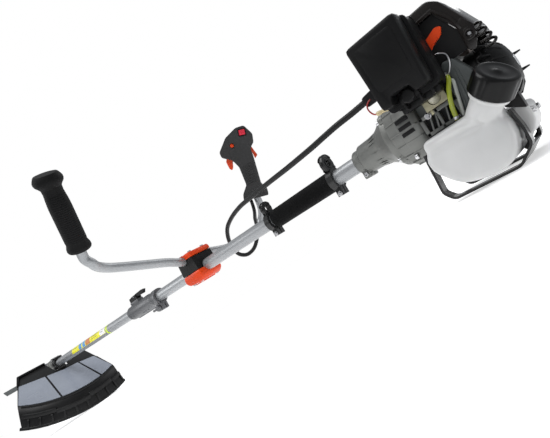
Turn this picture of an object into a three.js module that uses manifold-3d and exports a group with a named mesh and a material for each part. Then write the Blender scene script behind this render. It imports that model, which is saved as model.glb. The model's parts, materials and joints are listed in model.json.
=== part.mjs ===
// A petrol brush cutter with a two-piece shaft, a bull-horn handlebar and a two-stroke engine.
// Millimetres, +Z up.  Everything is laid out in the machine's own frame first: X runs along the
// drive shaft (negative towards the cutting head), negative Y is the operator's left, and the
// origin is where the tube enters the clutch housing.  The whole machine is then pitched so that
// it rests on the engine's stand and on the back edge of the guard, as it does when put down.
import * as THREE from 'three';
import { mergeVertices } from 'three/addons/utils/BufferGeometryUtils.js';
import Module from 'manifold-3d';

const wasm = await Module();
wasm.setup();

// ---- driving dimensions -------------------------------------------------------------------
const GAP = 0.3;                 // clearance between pieces that touch
const TUBE_R = 14;               // main tube, 28 mm outside
const TUBE_BORE_R = 12;
const SHAFT_R = 4;               // steel drive shaft, 8 mm
const UPPER_TUBE_END = -776;     // split between the two halves of the shaft
const LOWER_TUBE_END = -1562;    // where the lower tube ends inside the gear case
const HEAD_TILT = THREE.MathUtils.degToRad(32);   // cutting plane against the shaft
const HEAD_X = -1590;            // where the shaft axis and the blade axis meet
const BLADE_R = 127;             // 255 mm blade
const BAR_R = 10;                // handlebar, 20 mm outside
const BAR_X = -482;
const BAR_Z = 33;
// Each grip's axis, lower and upper end.  The bar is clamped a little out of level: left side up.
const LEFT_GRIP = [new THREE.Vector3(-440, -253, 150), new THREE.Vector3(-369, -279, 278)];
const RIGHT_GRIP = [new THREE.Vector3(-430, 268, 131), new THREE.Vector3(-373, 268, 265)];
const THROTTLE_TURN = THREE.MathUtils.degToRad(38);    // throttle grip turned about its own axis
const GUARD_CENTRE = new THREE.Vector3(-1547.7, 0, 0);
const GUARD_TOP_R = 245;
const GUARD_SKIRT_R = 288;
const GUARD_DEPTH = 59;
const GUARD_WALL = 3.5;
const CAP_AXIS = new THREE.Vector3(0.749, -0.317, 0.577).normalize();
const CAP_BASE = new THREE.Vector3(252, -88, -19);
const CAP_R = 26.5;
const CRANK_R = 6;
const STAND_X = [127, 252];      // front and back of the stand
const FOOT_Z = -118.5;           // underside of the stand's foot
const PITCH = THREE.MathUtils.degToRad(3.13);
const CONDUIT_R = 4.75;

// Points of the throttle conduit from the engine bracket to the foot of the throttle grip.
const CONDUIT_ROUTE = [
  [109, -60, 64], [80, -63, 62], [51, -66, 61], [25, -68, 59], [-3, -68, 57], [-35, -66, 56],
  [-72, -60, 56], [-113, -52, 57], [-155, -42, 58], [-205, -28, 59], [-255, -12, 60],
  [-315, 8, 54], [-360, 26, 42], [-390, 42, 20], [-404, 55, -2], [-408, 67, -18],
  [-401, 81, -27], [-386, 95, -23], [-374, 112, -4], [-377, 134, 20], [-396, 164, 42],
  [-422, 204, 62], [-446, 238, 82], [-455, 253, 100],
];

// ---- helpers ------------------------------------------------------------------------------
const machine = new THREE.Group();
const X_AXIS = new THREE.Vector3(1, 0, 0);
const Y_AXIS = new THREE.Vector3(0, 1, 0);
const LEFTWARDS = new THREE.Vector3(0, -1, 0);

function paint(color, roughness, metalness) {
  return new THREE.MeshStandardMaterial({ color, roughness, metalness });
}
const castAlu = () => paint(0x8a8a82, 0.55, 0.7);
const satinTube = () => paint(0xb4b6b8, 0.35, 0.9);
const steel = () => paint(0x9a9c9e, 0.3, 1.0);
const blackPlastic = () => paint(0x1b1b1c, 0.5, 0.0);
const blackRubber = () => paint(0x161617, 0.85, 0.0);
const blackSteel = () => paint(0x141414, 0.35, 0.6);
const orangePlastic = () => paint(0xe8501a, 0.45, 0.0);
const greyPlastic = () => paint(0x8c929c, 0.4, 0.0);

function add(name, shape, material, parent = machine) {
  const geometry = shape.isBufferGeometry ? shape : toGeometry(shape);
  const mesh = new THREE.Mesh(geometry, material);
  mesh.name = name;
  parent.add(mesh);
  return mesh;
}

function toSolid(geometry) {
  const bare = geometry.clone();
  for (const attribute of ['normal', 'uv']) {
    bare.deleteAttribute(attribute);
  }
  const merged = mergeVertices(bare, 1e-3);
  return new wasm.Manifold(new wasm.Mesh({
    numProp: 3,
    vertProperties: new Float32Array(merged.attributes.position.array),
    triVerts: new Uint32Array(merged.index.array),
  }));
}

function toGeometry(solid) {
  const mesh = solid.getMesh();
  const geometry = new THREE.BufferGeometry();
  geometry.setAttribute('position', new THREE.BufferAttribute(mesh.vertProperties, 3));
  geometry.setIndex(new THREE.BufferAttribute(mesh.triVerts, 1));
  return geometry;
}

const join = (...shapes) => shapes.map(toSolid).reduce((all, one) => all.add(one));
const cut = (solid, ...shapes) => shapes.map(toSolid).reduce((all, one) => all.subtract(one), solid);

function box(x0, x1, y0, y1, z0, z1) {
  const geometry = new THREE.BoxGeometry(x1 - x0, y1 - y0, z1 - z0);
  return geometry.translate((x0 + x1) / 2, (y0 + y1) / 2, (z0 + z1) / 2);
}

// Turned piece: points are [distance along the axis, radius]; the profile closes on itself.
function turned(points, origin, direction, sides = 16) {
  const profile = [...points, points[0]].map(([along, radius]) => new THREE.Vector2(radius, along));
  if (THREE.ShapeUtils.isClockWise(profile)) {
    profile.reverse();
  }
  const geometry = new THREE.LatheGeometry(profile, sides);
  const turn = new THREE.Quaternion().setFromUnitVectors(Y_AXIS, direction);
  return geometry.applyQuaternion(turn).translate(origin.x, origin.y, origin.z);
}

const turnedX = (points, sides = 16) => turned(points, new THREE.Vector3(), X_AXIS, sides);
const ringX = (outer, inner, x0, x1, sides = 16) =>
  turnedX([[x0, inner], [x0, outer], [x1, outer], [x1, inner]], sides);

function rod(radius, from, to, sides = 16) {
  const along = new THREE.Vector3().subVectors(to, from);
  const geometry = new THREE.CylinderGeometry(radius, radius, along.length(), sides);
  const middle = new THREE.Vector3().addVectors(from, to).multiplyScalar(0.5);
  const turn = new THREE.Quaternion().setFromUnitVectors(Y_AXIS, along.normalize());
  return geometry.applyQuaternion(turn).translate(middle.x, middle.y, middle.z);
}

const rodX = (radius, x0, x1, y = 0, z = 0, sides = 16) =>
  rod(radius, new THREE.Vector3(x0, y, z), new THREE.Vector3(x1, y, z), sides);
const rodY = (radius, y0, y1, x, z, sides = 16) =>
  rod(radius, new THREE.Vector3(x, y0, z), new THREE.Vector3(x, y1, z), sides);
const rodZ = (radius, z0, z1, x, y, sides = 16) =>
  rod(radius, new THREE.Vector3(x, y, z0), new THREE.Vector3(x, y, z1), sides);

// Outline in the XZ plane with its corners rounded, pushed through from y0 to y1.
function sidePlate(corners, radius, y0, y1, bevel = 0) {
  const shape = roundedOutline(corners, radius);
  const geometry = new THREE.ExtrudeGeometry(shape, {
    depth: y1 - y0 - 2 * bevel,
    bevelEnabled: bevel > 0,
    bevelThickness: bevel,
    bevelSize: bevel,
    bevelOffset: -bevel,
    bevelSegments: 2,
    curveSegments: 2,
  });
  return geometry.rotateX(Math.PI / 2).translate(0, y1 - bevel, 0);
}

function roundedOutline(corners, radius) {
  const shape = new THREE.Shape();
  const count = corners.length;
  for (let i = 0; i < count; i += 1) {
    const here = new THREE.Vector2(...corners[i]);
    const before = new THREE.Vector2(...corners[(i + count - 1) % count]).sub(here);
    const after = new THREE.Vector2(...corners[(i + 1) % count]).sub(here);
    const start = here.clone().addScaledVector(before.clone().normalize(), radius);
    const end = here.clone().addScaledVector(after.clone().normalize(), radius);
    if (i === 0) {
      shape.moveTo(start.x, start.y);
    } else {
      shape.lineTo(start.x, start.y);
    }
    if (radius > 0) {
      shape.quadraticCurveTo(here.x, here.y, end.x, end.y);
    }
  }
  shape.closePath();
  return shape;
}

function circle(radius, sides) {
  const points = [];
  for (let i = 0; i < sides; i += 1) {
    const angle = (2 * Math.PI * i) / sides;
    points.push(new THREE.Vector2(radius * Math.cos(angle), radius * Math.sin(angle)));
  }
  return new THREE.Shape(points);
}

function sweep(shape, points, steps) {
  const path = new THREE.CatmullRomCurve3(points.map((p) => new THREE.Vector3(...p)), false, 'centripetal');
  return new THREE.ExtrudeGeometry(shape, { steps, extrudePath: path, bevelEnabled: false });
}

// Part of a turned shape about Z: a closed profile of [radius, height] swung between two angles.
function swungProfile(profile, fromDegrees, toDegrees, steps) {
  const outline = profile.map(([r, h]) => new THREE.Vector2(r, h));
  const counterClockwise = !THREE.ShapeUtils.isClockWise(outline);
  if (!counterClockwise) {
    outline.reverse();
  }
  const count = outline.length;
  const positions = [];
  for (let i = 0; i <= steps; i += 1) {
    const angle = THREE.MathUtils.degToRad(fromDegrees + ((toDegrees - fromDegrees) * i) / steps);
    for (const p of outline) {
      positions.push(p.x * Math.cos(angle), p.x * Math.sin(angle), p.y);
    }
  }
  const faces = [];
  for (let i = 0; i < steps; i += 1) {
    for (let j = 0; j < count; j += 1) {
      const a = i * count + j;
      const b = i * count + ((j + 1) % count);
      faces.push(a, a + count, b);
      faces.push(b, a + count, b + count);
    }
  }
  for (const [p, q, r] of THREE.ShapeUtils.triangulateShape(outline, [])) {
    faces.push(p, q, r);
    const last = steps * count;
    faces.push(last + p, last + r, last + q);
  }
  const geometry = new THREE.BufferGeometry();
  geometry.setAttribute('position', new THREE.Float32BufferAttribute(positions, 3));
  geometry.setIndex(faces);
  return geometry;
}

// ---- shaft --------------------------------------------------------------------------------
function mainTubes() {
  add('upper_tube', ringX(TUBE_R, TUBE_BORE_R, UPPER_TUBE_END, 33), satinTube());
  add('lower_tube', ringX(TUBE_R, TUBE_BORE_R, LOWER_TUBE_END, UPPER_TUBE_END - 1), satinTube());
}

function driveShafts() {
  const socketR = 8;
  const upper = turnedX([
    [56, 0], [56, SHAFT_R], [UPPER_TUBE_END - 2, SHAFT_R], [UPPER_TUBE_END - 2, socketR],
    [UPPER_TUBE_END - 26, socketR], [UPPER_TUBE_END - 26, SHAFT_R + GAP],
    [UPPER_TUBE_END - 4, SHAFT_R + GAP], [UPPER_TUBE_END - 4, 0],
  ], 12);
  add('upper_drive_shaft', upper, steel());
  add('lower_drive_shaft', rodX(SHAFT_R, -1566, UPPER_TUBE_END - 5, 0, 0, 12), steel());
}

function coupler() {
  const bore = TUBE_R + GAP;
  const x0 = -852;
  const x1 = -680;
  const barrel = turnedX([
    [x0, bore], [x0, 18], [x0 + 6, 19.5], [-832, 19.5], [-826, 21], [-728, 21], [-722, 19],
    [-704, 19], [-700, 21.5], [x1, 21.5], [x1, bore],
  ]);
  const latchBoss = box(-822, -776, -9, 9, 14, 27);
  const clampLug = box(-702, x1, -13, 8, -37, -10);
  const body = cut(join(barrel, latchBoss, clampLug), rodX(bore, x0 - 5, x1 + 5),
    box(-716, x1 + 5, -1, 1, -45, -8));
  add('coupler_body', body, castAlu());

  const saddle = sidePlate([[-820, 27.4], [-778, 27.4], [-778, 33], [-786, 41], [-818, 38]], 1.5, -8, 8);
  const block = cut(toSolid(saddle),
    box(-802, -770, -4.5, 4.5, 29, 50));
  add('coupler_latch_block', block, blackPlastic());
  const lever = sidePlate([
    [-796, 33], [-780, 33], [-744, 31], [-734, 40], [-746, 43], [-782, 42], [-796, 40],
  ], 2, -4.2, 4.2);
  add('coupler_latch_lever', lever, blackPlastic());

  const knob = join(
    turned([[0, 0], [0, 8], [8, 7.4], [11, 5], [11, 0]], new THREE.Vector3(-690, -13.4, -28), LEFTWARDS, 12),
    box(-707, -673, -26, -21.5, -31, -25),
  );
  add('coupler_knob', knob, castAlu());
}

// ---- handlebar ----------------------------------------------------------------------------
function barRoute() {
  const beyond = (grip, t) => new THREE.Vector3().lerpVectors(grip[0], grip[1], t).toArray();
  return [
    beyond(LEFT_GRIP, 0.45), beyond(LEFT_GRIP, 0), beyond(LEFT_GRIP, -0.24),
    [BAR_X + 27, -241, BAR_Z + 76], [BAR_X + 14, -227, BAR_Z + 67], [BAR_X + 3, -203, BAR_Z + 58],
    [BAR_X, -170, BAR_Z + 47], [BAR_X, -120, BAR_Z + 31], [BAR_X, -70, BAR_Z + 15],
    [BAR_X, -46, BAR_Z + 5], [BAR_X, -33, BAR_Z], [BAR_X, -16, BAR_Z], [BAR_X, 0, BAR_Z], [BAR_X, 16, BAR_Z],
    [BAR_X, 33, BAR_Z], [BAR_X, 46, BAR_Z - 2.5], [BAR_X, 70, BAR_Z - 9], [BAR_X, 110, BAR_Z - 17],
    [BAR_X, 160, BAR_Z - 20],
    [BAR_X, 208, BAR_Z - 17], [BAR_X + 1, 238, BAR_Z - 10], [BAR_X + 7, 256, BAR_Z + 1],
    [BAR_X + 18, 265, BAR_Z + 14], [BAR_X + 29, 268, BAR_Z + 31], [BAR_X + 36, 268, BAR_Z + 49],
    beyond(RIGHT_GRIP, -0.22),
    beyond(RIGHT_GRIP, 0), beyond(RIGHT_GRIP, 0.45),
  ];
}

function handlebar() {
  const section = circle(BAR_R, 10);
  section.holes.push(circle(BAR_R - 1.8, 10));
  add('handlebar', sweep(section, barRoute(), 50), satinTube());
}

function handlebarClamp() {
  const x0 = BAR_X - 30;
  const x1 = BAR_X + 36;
  const tubeHole = rodX(TUBE_R + GAP, x0 - 10, x1 + 10);
  const barHole = rodY(BAR_R + 1, -60, 60, BAR_X, BAR_Z, 16);
  const base = sidePlate([
    [x0, -0.3], [x0 - 3, -16], [x0 + 8, -25], [x1 - 10, -28], [x1 + 4, -18], [x1 + 2, -0.3],
  ], 5, -32, 32, 3);
  add('clamp_base', cut(toSolid(base), tubeHole), orangePlastic());
  const middle = sidePlate([
    [x0 + 1, 0.3], [x1, 0.3], [x1 - 3, BAR_Z - 0.3], [x0 + 4, BAR_Z - 0.3],
  ], 2, -31, 31);
  add('clamp_middle', cut(toSolid(middle), tubeHole, barHole), blackPlastic());
  const cap = sidePlate([
    [x0 + 7, BAR_Z + 0.3], [x1 + 1, BAR_Z + 0.3], [x1 - 3, BAR_Z + 12.8], [x0 + 12, BAR_Z + 12.8],
  ], 5, -31, 31, 1.4);
  add('clamp_cap', cut(toSolid(cap), barHole), orangePlastic());
}

// Frame that runs up a grip: its Z is the grip axis and its X points backwards, turned about that axis.
function gripFrame([low, high], turn = 0) {
  const up = new THREE.Vector3().subVectors(high, low).normalize();
  const back = X_AXIS.clone().addScaledVector(up, -X_AXIS.dot(up)).normalize().applyAxisAngle(up, turn);
  const group = new THREE.Group();
  group.matrixAutoUpdate = false;
  group.matrix.makeBasis(back, new THREE.Vector3().crossVectors(up, back), up).setPosition(low);
  machine.add(group);
  return group;
}

const GRIP_HOLE_R = BAR_R + 0.8;   // the bar's bends are faceted, so its sockets are a little wide

function leftGrip() {
  const length = 156;
  const profile = [
    [-14, GRIP_HOLE_R], [-14, 21], [-9, 23], [4, 19.5], [30, 20.5], [70, 20.5], [104, 18], [116, 18.5],
    [124, 26], [132, 27], [length - 14, 22], [length - 14, 0], [length - 20, 0], [length - 20, GRIP_HOLE_R],
  ];
  const grip = turned(profile, new THREE.Vector3(), new THREE.Vector3(0, 0, 1), 18);
  add('left_grip', grip, blackRubber(), gripFrame(LEFT_GRIP));
}

// Throttle grip, in its own frame: X backwards, -Y towards the operator's thumb, Z up the grip.
function throttleGrip() {
  const frame = gripFrame(RIGHT_GRIP, THROTTLE_TURN);
  const outline = [
    [-37, -34], [34, -32], [33, -15], [20, 2], [17, 62], [14, 104], [25, 116], [27, 140], [9, 166],
    [-14, 164], [-46, 144], [-71, 109], [-68, 94], [-42, 82], [-28, 60], [-20, 8], [-35, -16],
  ];
  const cavities = [
    rodZ(GRIP_HOLE_R, -60, 80, 0, 0), rodZ(GRIP_HOLE_R + 2.5, -60, -14, 0, 0),
    box(-80, -22, -6.4, 6.4, 44, 103), box(11, 40, -5.4, 5.4, 68, 112),
    box(-8, 10, -30, -11.6, 141, 157), rodY(5.5, -30, -7, -33, 120, 12),
  ];
  const halves = [['throttle_shell_inner', -18, -0.2], ['throttle_shell_outer', 0.2, 18]];
  for (const [name, y0, y1] of halves) {
    add(name, cut(toSolid(sidePlate(outline, 4, y0, y1)), ...cavities), blackPlastic(), frame);
  }
  const trigger = sidePlate([
    [-26, 99], [-54, 97], [-60, 80], [-55, 60], [-49, 55], [-45, 62], [-43, 76], [-28, 86],
  ], 2, -5.8, 5.8);
  add('throttle_trigger', trigger, orangePlastic(), frame);
  const lockout = sidePlate([
    [12, 108], [18, 80], [20, 73], [28, 81], [22, 94], [16, 108],
  ], 1.2, -4.8, 4.8);
  add('throttle_lockout', lockout, orangePlastic(), frame);
  add('stop_switch', box(-7, 9, -20.5, -13.4, 142, 156), paint(0xc8202c, 0.4, 0), frame);
  const button = turned([[0, 0], [0, 5], [10, 5], [13, 3.5], [13, 0]], new THREE.Vector3(-33, -11, 120),
    LEFTWARDS, 12);
  add('throttle_lock_button', button, orangePlastic(), frame);
}

function throttleConduit() {
  add('throttle_conduit', sweep(circle(CONDUIT_R, 8), CONDUIT_ROUTE, 56), blackRubber());
}

function foamSleeve() {
  add('foam_sleeve', ringX(18.5, TUBE_R + GAP, -198, -62), blackRubber());
}

// Split ring on the tube with an upright eye plate above it and a pinch lug below it.
function hanger(name, x, eyeZ, eyeR) {
  const width = 12;
  const ring = ringX(20.5, TUBE_R + GAP, x - width / 2, x + width / 2);
  const eye = join(ring, box(x - 3.5, x + 3.5, -11, 11, 15, eyeZ), rodX(eyeR, x - 3.5, x + 3.5, 0, eyeZ),
    box(x - 6, x + 6, -11, 9, -30, -15));
  const bolt = rodY(2.6, -20, 20, x, -25.5, 8);
  add(name, cut(eye, rodX(TUBE_R + GAP, x - 20, x + 20), rodX(5.5, x - 20, x + 20, 0, eyeZ + 1, 12),
    box(x - 10, x + 10, -3, 0, -40, -8), bolt), blackSteel());
}

// ---- cutting head -------------------------------------------------------------------------
const HEAD = new THREE.Vector3(HEAD_X, 0, 0);
const DOWN_AXIS = new THREE.Vector3(-Math.sin(HEAD_TILT), 0, -Math.cos(HEAD_TILT));

const onHead = (points, sides = 16) => turned(points, HEAD, DOWN_AXIS, sides);

function gearCase() {
  const socket = turnedX([[-1605, 0], [-1605, 19], [-1552, 19], [-1548, 18], [-1548, 0]]);
  const dome = new THREE.SphereGeometry(25, 16, 8).translate(HEAD.x, 0, 0);
  const hub = onHead([[0, 0], [0, 24], [26, 24], [30, 21], [30, 0]]);
  const clampEars = box(-1562, -1548, -9, 9, 10, 27);
  const cavity = new THREE.SphereGeometry(20, 12, 6).translate(HEAD.x, 0, 0);
  const body = cut(join(socket, dome, hub, clampEars), cavity,
    onHead([[0, 0], [0, 17], [26, 17], [26, 0]]), onHead([[0, 0], [0, 7], [40, 7], [40, 0]]),
    rodX(12.4, -1600, -1558, 0, 0, 16),
    rodX(TUBE_R + GAP, -1562.5, -1540), box(-1566, -1540, -1, 1, 10, 40));
  add('gear_case', body, castAlu());
}

function bevelGears() {
  const pinion = turnedX([[-1578, 0], [-1578, 8], [-1568, 10.5], [-1567, 10.5], [-1567, 0]], 12);
  add('bevel_pinion', pinion, steel());
  const shaft = onHead([
    [-12, 0], [-12, 5], [3, 5], [3, 10], [7, 14], [14, 15], [16, 12], [16, 6], [60, 6], [60, 0],
  ], 16);
  add('output_shaft', shaft, steel());
}

function bladeStack() {
  const bore = 6 + GAP;
  const adapter = [[31, bore], [31, 23], [35, 26], [41, 26], [41, 20], [43, 20], [43, bore]];
  add('blade_adapter', onHead(adapter), steel());
  const blade = bladeOutline();
  blade.holes.push(circle(bore, 16));
  const plate = new THREE.ExtrudeGeometry(blade, { depth: 1.8, bevelEnabled: false, curveSegments: 4 });
  plate.translate(0, 0, 43.3);
  const turn = new THREE.Matrix4().makeRotationY(-Math.PI + HEAD_TILT).setPosition(HEAD);
  add('cutting_blade', plate.applyMatrix4(turn), steel());
  add('blade_cup', onHead([[45.4, bore], [45.4, 27], [49, 24], [51, 14], [51, bore]]), steel());
  const hexBore = bore / Math.cos(Math.PI / 6);
  add('blade_nut', onHead([[51.4, hexBore], [51.4, 10.5], [59, 10.5], [59, hexBore]], 6), steel());
}

// Three long teeth with hooked tips.
function bladeOutline() {
  const shape = new THREE.Shape();
  const teeth = 3;
  for (let i = 0; i < teeth; i += 1) {
    const turn = (2 * Math.PI * i) / teeth;
    const at = (radius, degrees) => {
      const angle = turn + THREE.MathUtils.degToRad(degrees);
      return [radius * Math.cos(angle), radius * Math.sin(angle)];
    };
    if (i === 0) {
      shape.moveTo(...at(BLADE_R, 0));
    } else {
      shape.lineTo(...at(BLADE_R, 0));
    }
    shape.lineTo(...at(BLADE_R - 4, 14));
    shape.quadraticCurveTo(...at(70, 22), ...at(44, 60));
    shape.quadraticCurveTo(...at(48, 96), ...at(96, 116));
  }
  shape.closePath();
  return shape;
}

// Guard, in its own frame: X backwards along the cutting plane, Z square to it.
function guard() {
  const frame = new THREE.Group();
  frame.position.copy(GUARD_CENTRE);
  frame.rotation.y = HEAD_TILT;
  machine.add(frame);

  const inner = 150;
  const skirt = [
    [inner, 0], [GUARD_TOP_R - 8, 0], [GUARD_TOP_R, -3], [GUARD_TOP_R + 18, -22],
    [GUARD_SKIRT_R, -GUARD_DEPTH], [GUARD_SKIRT_R - GUARD_WALL, -GUARD_DEPTH],
    [GUARD_TOP_R + 14, -23.5], [GUARD_TOP_R - 3, -6],
    [GUARD_TOP_R - 9, -GUARD_WALL], [inner, -GUARD_WALL],
  ];
  const leftEnd = endCutter([13, -157], [134, -213]);
  const rightEnd = endCutter([240, 107], [60, 114]);
  const notch = 27;
  const deck = new THREE.Shape([
    [-46, -131], [-46, -notch], [64, -notch], [64, notch], [-20, notch], [10, 112], [170, 110], [170, -170],
    [14, -160],
  ].map(([x, y]) => new THREE.Vector2(x, y)));
  const top = new THREE.ExtrudeGeometry(deck, { depth: GUARD_WALL, bevelEnabled: false });
  top.translate(0, 0, -GUARD_WALL);
  const body = cut(join(swungProfile(skirt, -85, 52, 23), top), leftEnd, rightEnd);
  add('guard_body', body, blackPlastic(), frame);

  const rim = GUARD_TOP_R - 9;
  const edge = (degrees) => {
    const angle = THREE.MathUtils.degToRad(degrees);
    return [rim * Math.cos(angle), rim * Math.sin(angle)];
  };
  const panels = [
    ['guard_panel_left', [[13, -152], [44, -70]], -25.6, -59.5],
    ['guard_panel_middle', [[46, -64], [66, -8], [73, 46]], 10.2, -24],
    ['guard_panel_right', [[76, 52], [92, 104]], 26.2, 12],
  ];
  for (const [name, front, from, to] of panels) {
    const shape = new THREE.Shape(front.map(([x, y]) => new THREE.Vector2(x, y)));
    shape.lineTo(...edge(from));
    shape.absarc(0, 0, rim, THREE.MathUtils.degToRad(from), THREE.MathUtils.degToRad(to), from > to);
    shape.closePath();
    const plate = new THREE.ExtrudeGeometry(shape, { depth: 2.4, bevelEnabled: false, curveSegments: 10 });
    add(name, plate.translate(0, 0, GAP), greyPlastic(), frame);
  }

  const cutter = box(-12, 16, -196, -150, -6.2, -3.9);
  add('line_cutter', cutter, steel(), frame);
}

// Block beyond the line from a to b, which trims an end of the guard square to its top.
function endCutter(a, b) {
  const size = 400;
  const angle = Math.atan2(b[1] - a[1], b[0] - a[0]);
  const block = new THREE.BoxGeometry(3 * size, size, size);
  return block.translate(0, -size / 2, 0).rotateZ(angle).translate(a[0], a[1], 0);
}

function guardBracket() {
  const ring = ringX(19.5, TUBE_R + GAP, -1538, -1512);
  const leg = box(-1538, -1512, -14, 14, -27, -12);
  const plate = box(14, 92, -22, 22, -8.4, -4.1).rotateY(HEAD_TILT);
  plate.translate(GUARD_CENTRE.x, 0, 0);
  add('guard_bracket', cut(join(ring, leg, plate), rodX(TUBE_R + GAP, -1600, -1480)), blackSteel());
}

// ---- engine -------------------------------------------------------------------------------
function clutch() {
  const bore = TUBE_R + GAP;
  const bell = turnedX([
    [16, bore], [16, 19], [18, 20.5], [28, 20.5], [30, 24], [62, 26], [74, 31], [85, 39], [91, 46],
    [103, 46], [103, 41], [92, 41], [85, 36], [78, 32], [74, 13], [42, 11], [34, 11], [34, bore],
  ]);
  const ears = [45, 135, 225, 315].map((degrees) => {
    const angle = THREE.MathUtils.degToRad(degrees);
    return rodX(7, 95, 103, 45 * Math.cos(angle), 45 * Math.sin(angle), 12);
  });
  const pinchLug = box(18, 31, -13, 13, -29, -14);
  const housing = cut(join(bell, ...ears, pinchLug), rodX(bore, 0, 33.9), box(10, 34, -1, 1, -40, -10));
  add('clutch_housing', housing, castAlu());

  const drum = turnedX([[58, 0], [58, 6], [82, 6], [82, 29], [103, 29], [103, 26.5], [85, 26.5], [85, 0]]);
  add('clutch_drum', drum, steel());
  add('clutch_shoes', ringX(24, CRANK_R + GAP, 88, 101), castAlu());
}

function fanHousing() {
  const ring = turnedX([
    [103.4, 41], [103.4, 52], [142, 54], [150, 50], [150, 9], [146, 9], [146, 47], [107, 47], [107, 41],
  ]);
  const slots = [0, 1, 2].map((i) => box(120, 140, -70, -20, -6 + 9 * i, -1 + 9 * i));
  add('fan_housing', cut(toSolid(ring), ...slots), castAlu());
  add('flywheel', ringX(43, CRANK_R + GAP, 112, 136), castAlu());
}

function crankcase() {
  const block = sidePlate([[150.4, -42], [228, -42], [228, 38], [150.4, 38]], 4, -38, 38);
  const solid = cut(toSolid(block), rodX(28, 164, 216, 0, 0, 20), rodX(CRANK_R + 1, 140, 240, 0, 0, 12),
    rodZ(18, 0, 60, 190, 0, 20));
  add('crankcase', solid, paint(0x6e7370, 0.6, 0.6));

  const shaft = join(rodX(CRANK_R, 87, 172.2), rodX(25, 172, 182, 0, 0, 20), rodX(5, 181, 199, 0, 14, 12),
    rodX(25, 198, 208, 0, 0, 20), rodX(CRANK_R, 207.8, 258));
  add('crankshaft', shaft, steel());
}

function cylinder() {
  const comb = [[164, 38.4], [216, 38.4]];
  const fins = 6;
  const pitch = 8.5;
  for (let i = 0; i < fins; i += 1) {
    const z = 44 + pitch * i;
    comb.push([216, z], [224, z], [224, z + 3], [216, z + 3]);
  }
  comb.push([216, 98], [164, 98]);
  for (let i = fins - 1; i >= 0; i -= 1) {
    const z = 44 + pitch * i;
    comb.push([164, z + 3], [156, z + 3], [156, z], [164, z]);
  }
  const barrel = sidePlate(comb, 0, -34, 34);
  add('cylinder', cut(toSolid(barrel), rodZ(18.5, 30, 88, 190, 0, 20)), castAlu());
  add('piston', rodZ(18, 52, 78, 190, 0, 20), castAlu());
  const plug = turned([[0, 0], [0, 6], [6, 6], [6, 4], [14, 4], [14, 0]], new THREE.Vector3(190, 0, 98.4),
    new THREE.Vector3(0, 0, 1), 12);
  add('spark_plug', plug, paint(0xd8d4cc, 0.3, 0));
}

function engineShroud() {
  const outer = [[150, 48], [150, 111], [168, 122], [234, 123], [246, 113], [264, 68], [265, 50]];
  const inner = [[153, 40], [153, 109], [169, 119], [233, 120], [243.5, 111], [261, 67], [262, 40]];
  const shell = cut(toSolid(sidePlate(outer, 5, -46, 46, 3)), sidePlate(inner, 2, -43, 43),
    sidePlate([[200, 40], [200, 104], [232, 106], [250, 64], [250, 40]], 3, -60, -40),
    sidePlate([[170, 40], [170, 100], [232, 100], [232, 40]], 3, 40, 60));
  add('engine_shroud', shell, paint(0x151210, 0.25, 0));
}

function exhaust() {
  const muffler = cut(toSolid(sidePlate([[172, 40], [230, 40], [230, 94], [172, 94]], 8, 48, 92, 4)),
    rodX(4, 215, 240, 74, 52, 10));
  add('muffler', muffler, paint(0x3a3836, 0.6, 0.8));
}

function carburettor() {
  const body = cut(join(box(168, 200, -58, -39, 2, 44), rodY(7, -61.5, -40, 184, 34, 16)),
    rodY(9.4, -70, -51, 185, 14, 16));
  add('carburettor', body, paint(0x8f8a6a, 0.45, 0.8));
  const bulb = turned([[0, 0], [0, 8.5], [4, 8.5], [10, 5], [11.5, 0]], new THREE.Vector3(185, -56, 14),
    LEFTWARDS, 14);
  add('primer_bulb', bulb, paint(0xb8b49c, 0.2, 0));
}

function airFilter() {
  const base = sidePlate([[139, 23], [212, 22], [216, 117], [141, 119]], 9, -91.6, -62);
  add('air_filter_base', base, blackPlastic());
  const face = [
    [141, 28], [158, 27], [159, 40], [186, 39], [187, 27], [208, 26], [213, 120], [139, 122],
  ];
  const cover = cut(toSolid(sidePlate(face, 6, -118, -92, 4)),
    sidePlate([[147, 44], [203, 44], [206, 114], [146, 116]], 5, -114, -80));
  add('air_filter_cover', cover, blackPlastic());
  const lever = sidePlate([
    [200, 62], [208, 60], [218, 68], [232, 73], [237, 82], [230, 85], [212, 78], [201, 71],
  ], 2, -61.4, -57.4);
  add('choke_lever', lever, orangePlastic());
}

function recoilStarter() {
  const housing = cut(toSolid(turnedX([
    [229, 0], [229, 42], [256, 42], [266, 36], [274, 24], [277, 9], [277, 0],
  ])), turnedX([[220, 0], [220, 38], [253, 38], [261, 33], [265, 27], [265, 0]]),
  rodY(5, 28, 60, 248, 20, 12));
  add('recoil_housing', housing, blackPlastic());
  add('recoil_pulley', ringX(30, CRANK_R + GAP, 240, 256), greyPlastic());
  const handle = join(rodY(4, 39, 58, 248, 20, 12), turned(
    [[-19, 0], [-19, 6], [-6, 8], [6, 8], [19, 6], [19, 0]], new THREE.Vector3(248, 62, 20), X_AXIS, 14));
  add('pull_handle', handle, blackPlastic());
}

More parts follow.
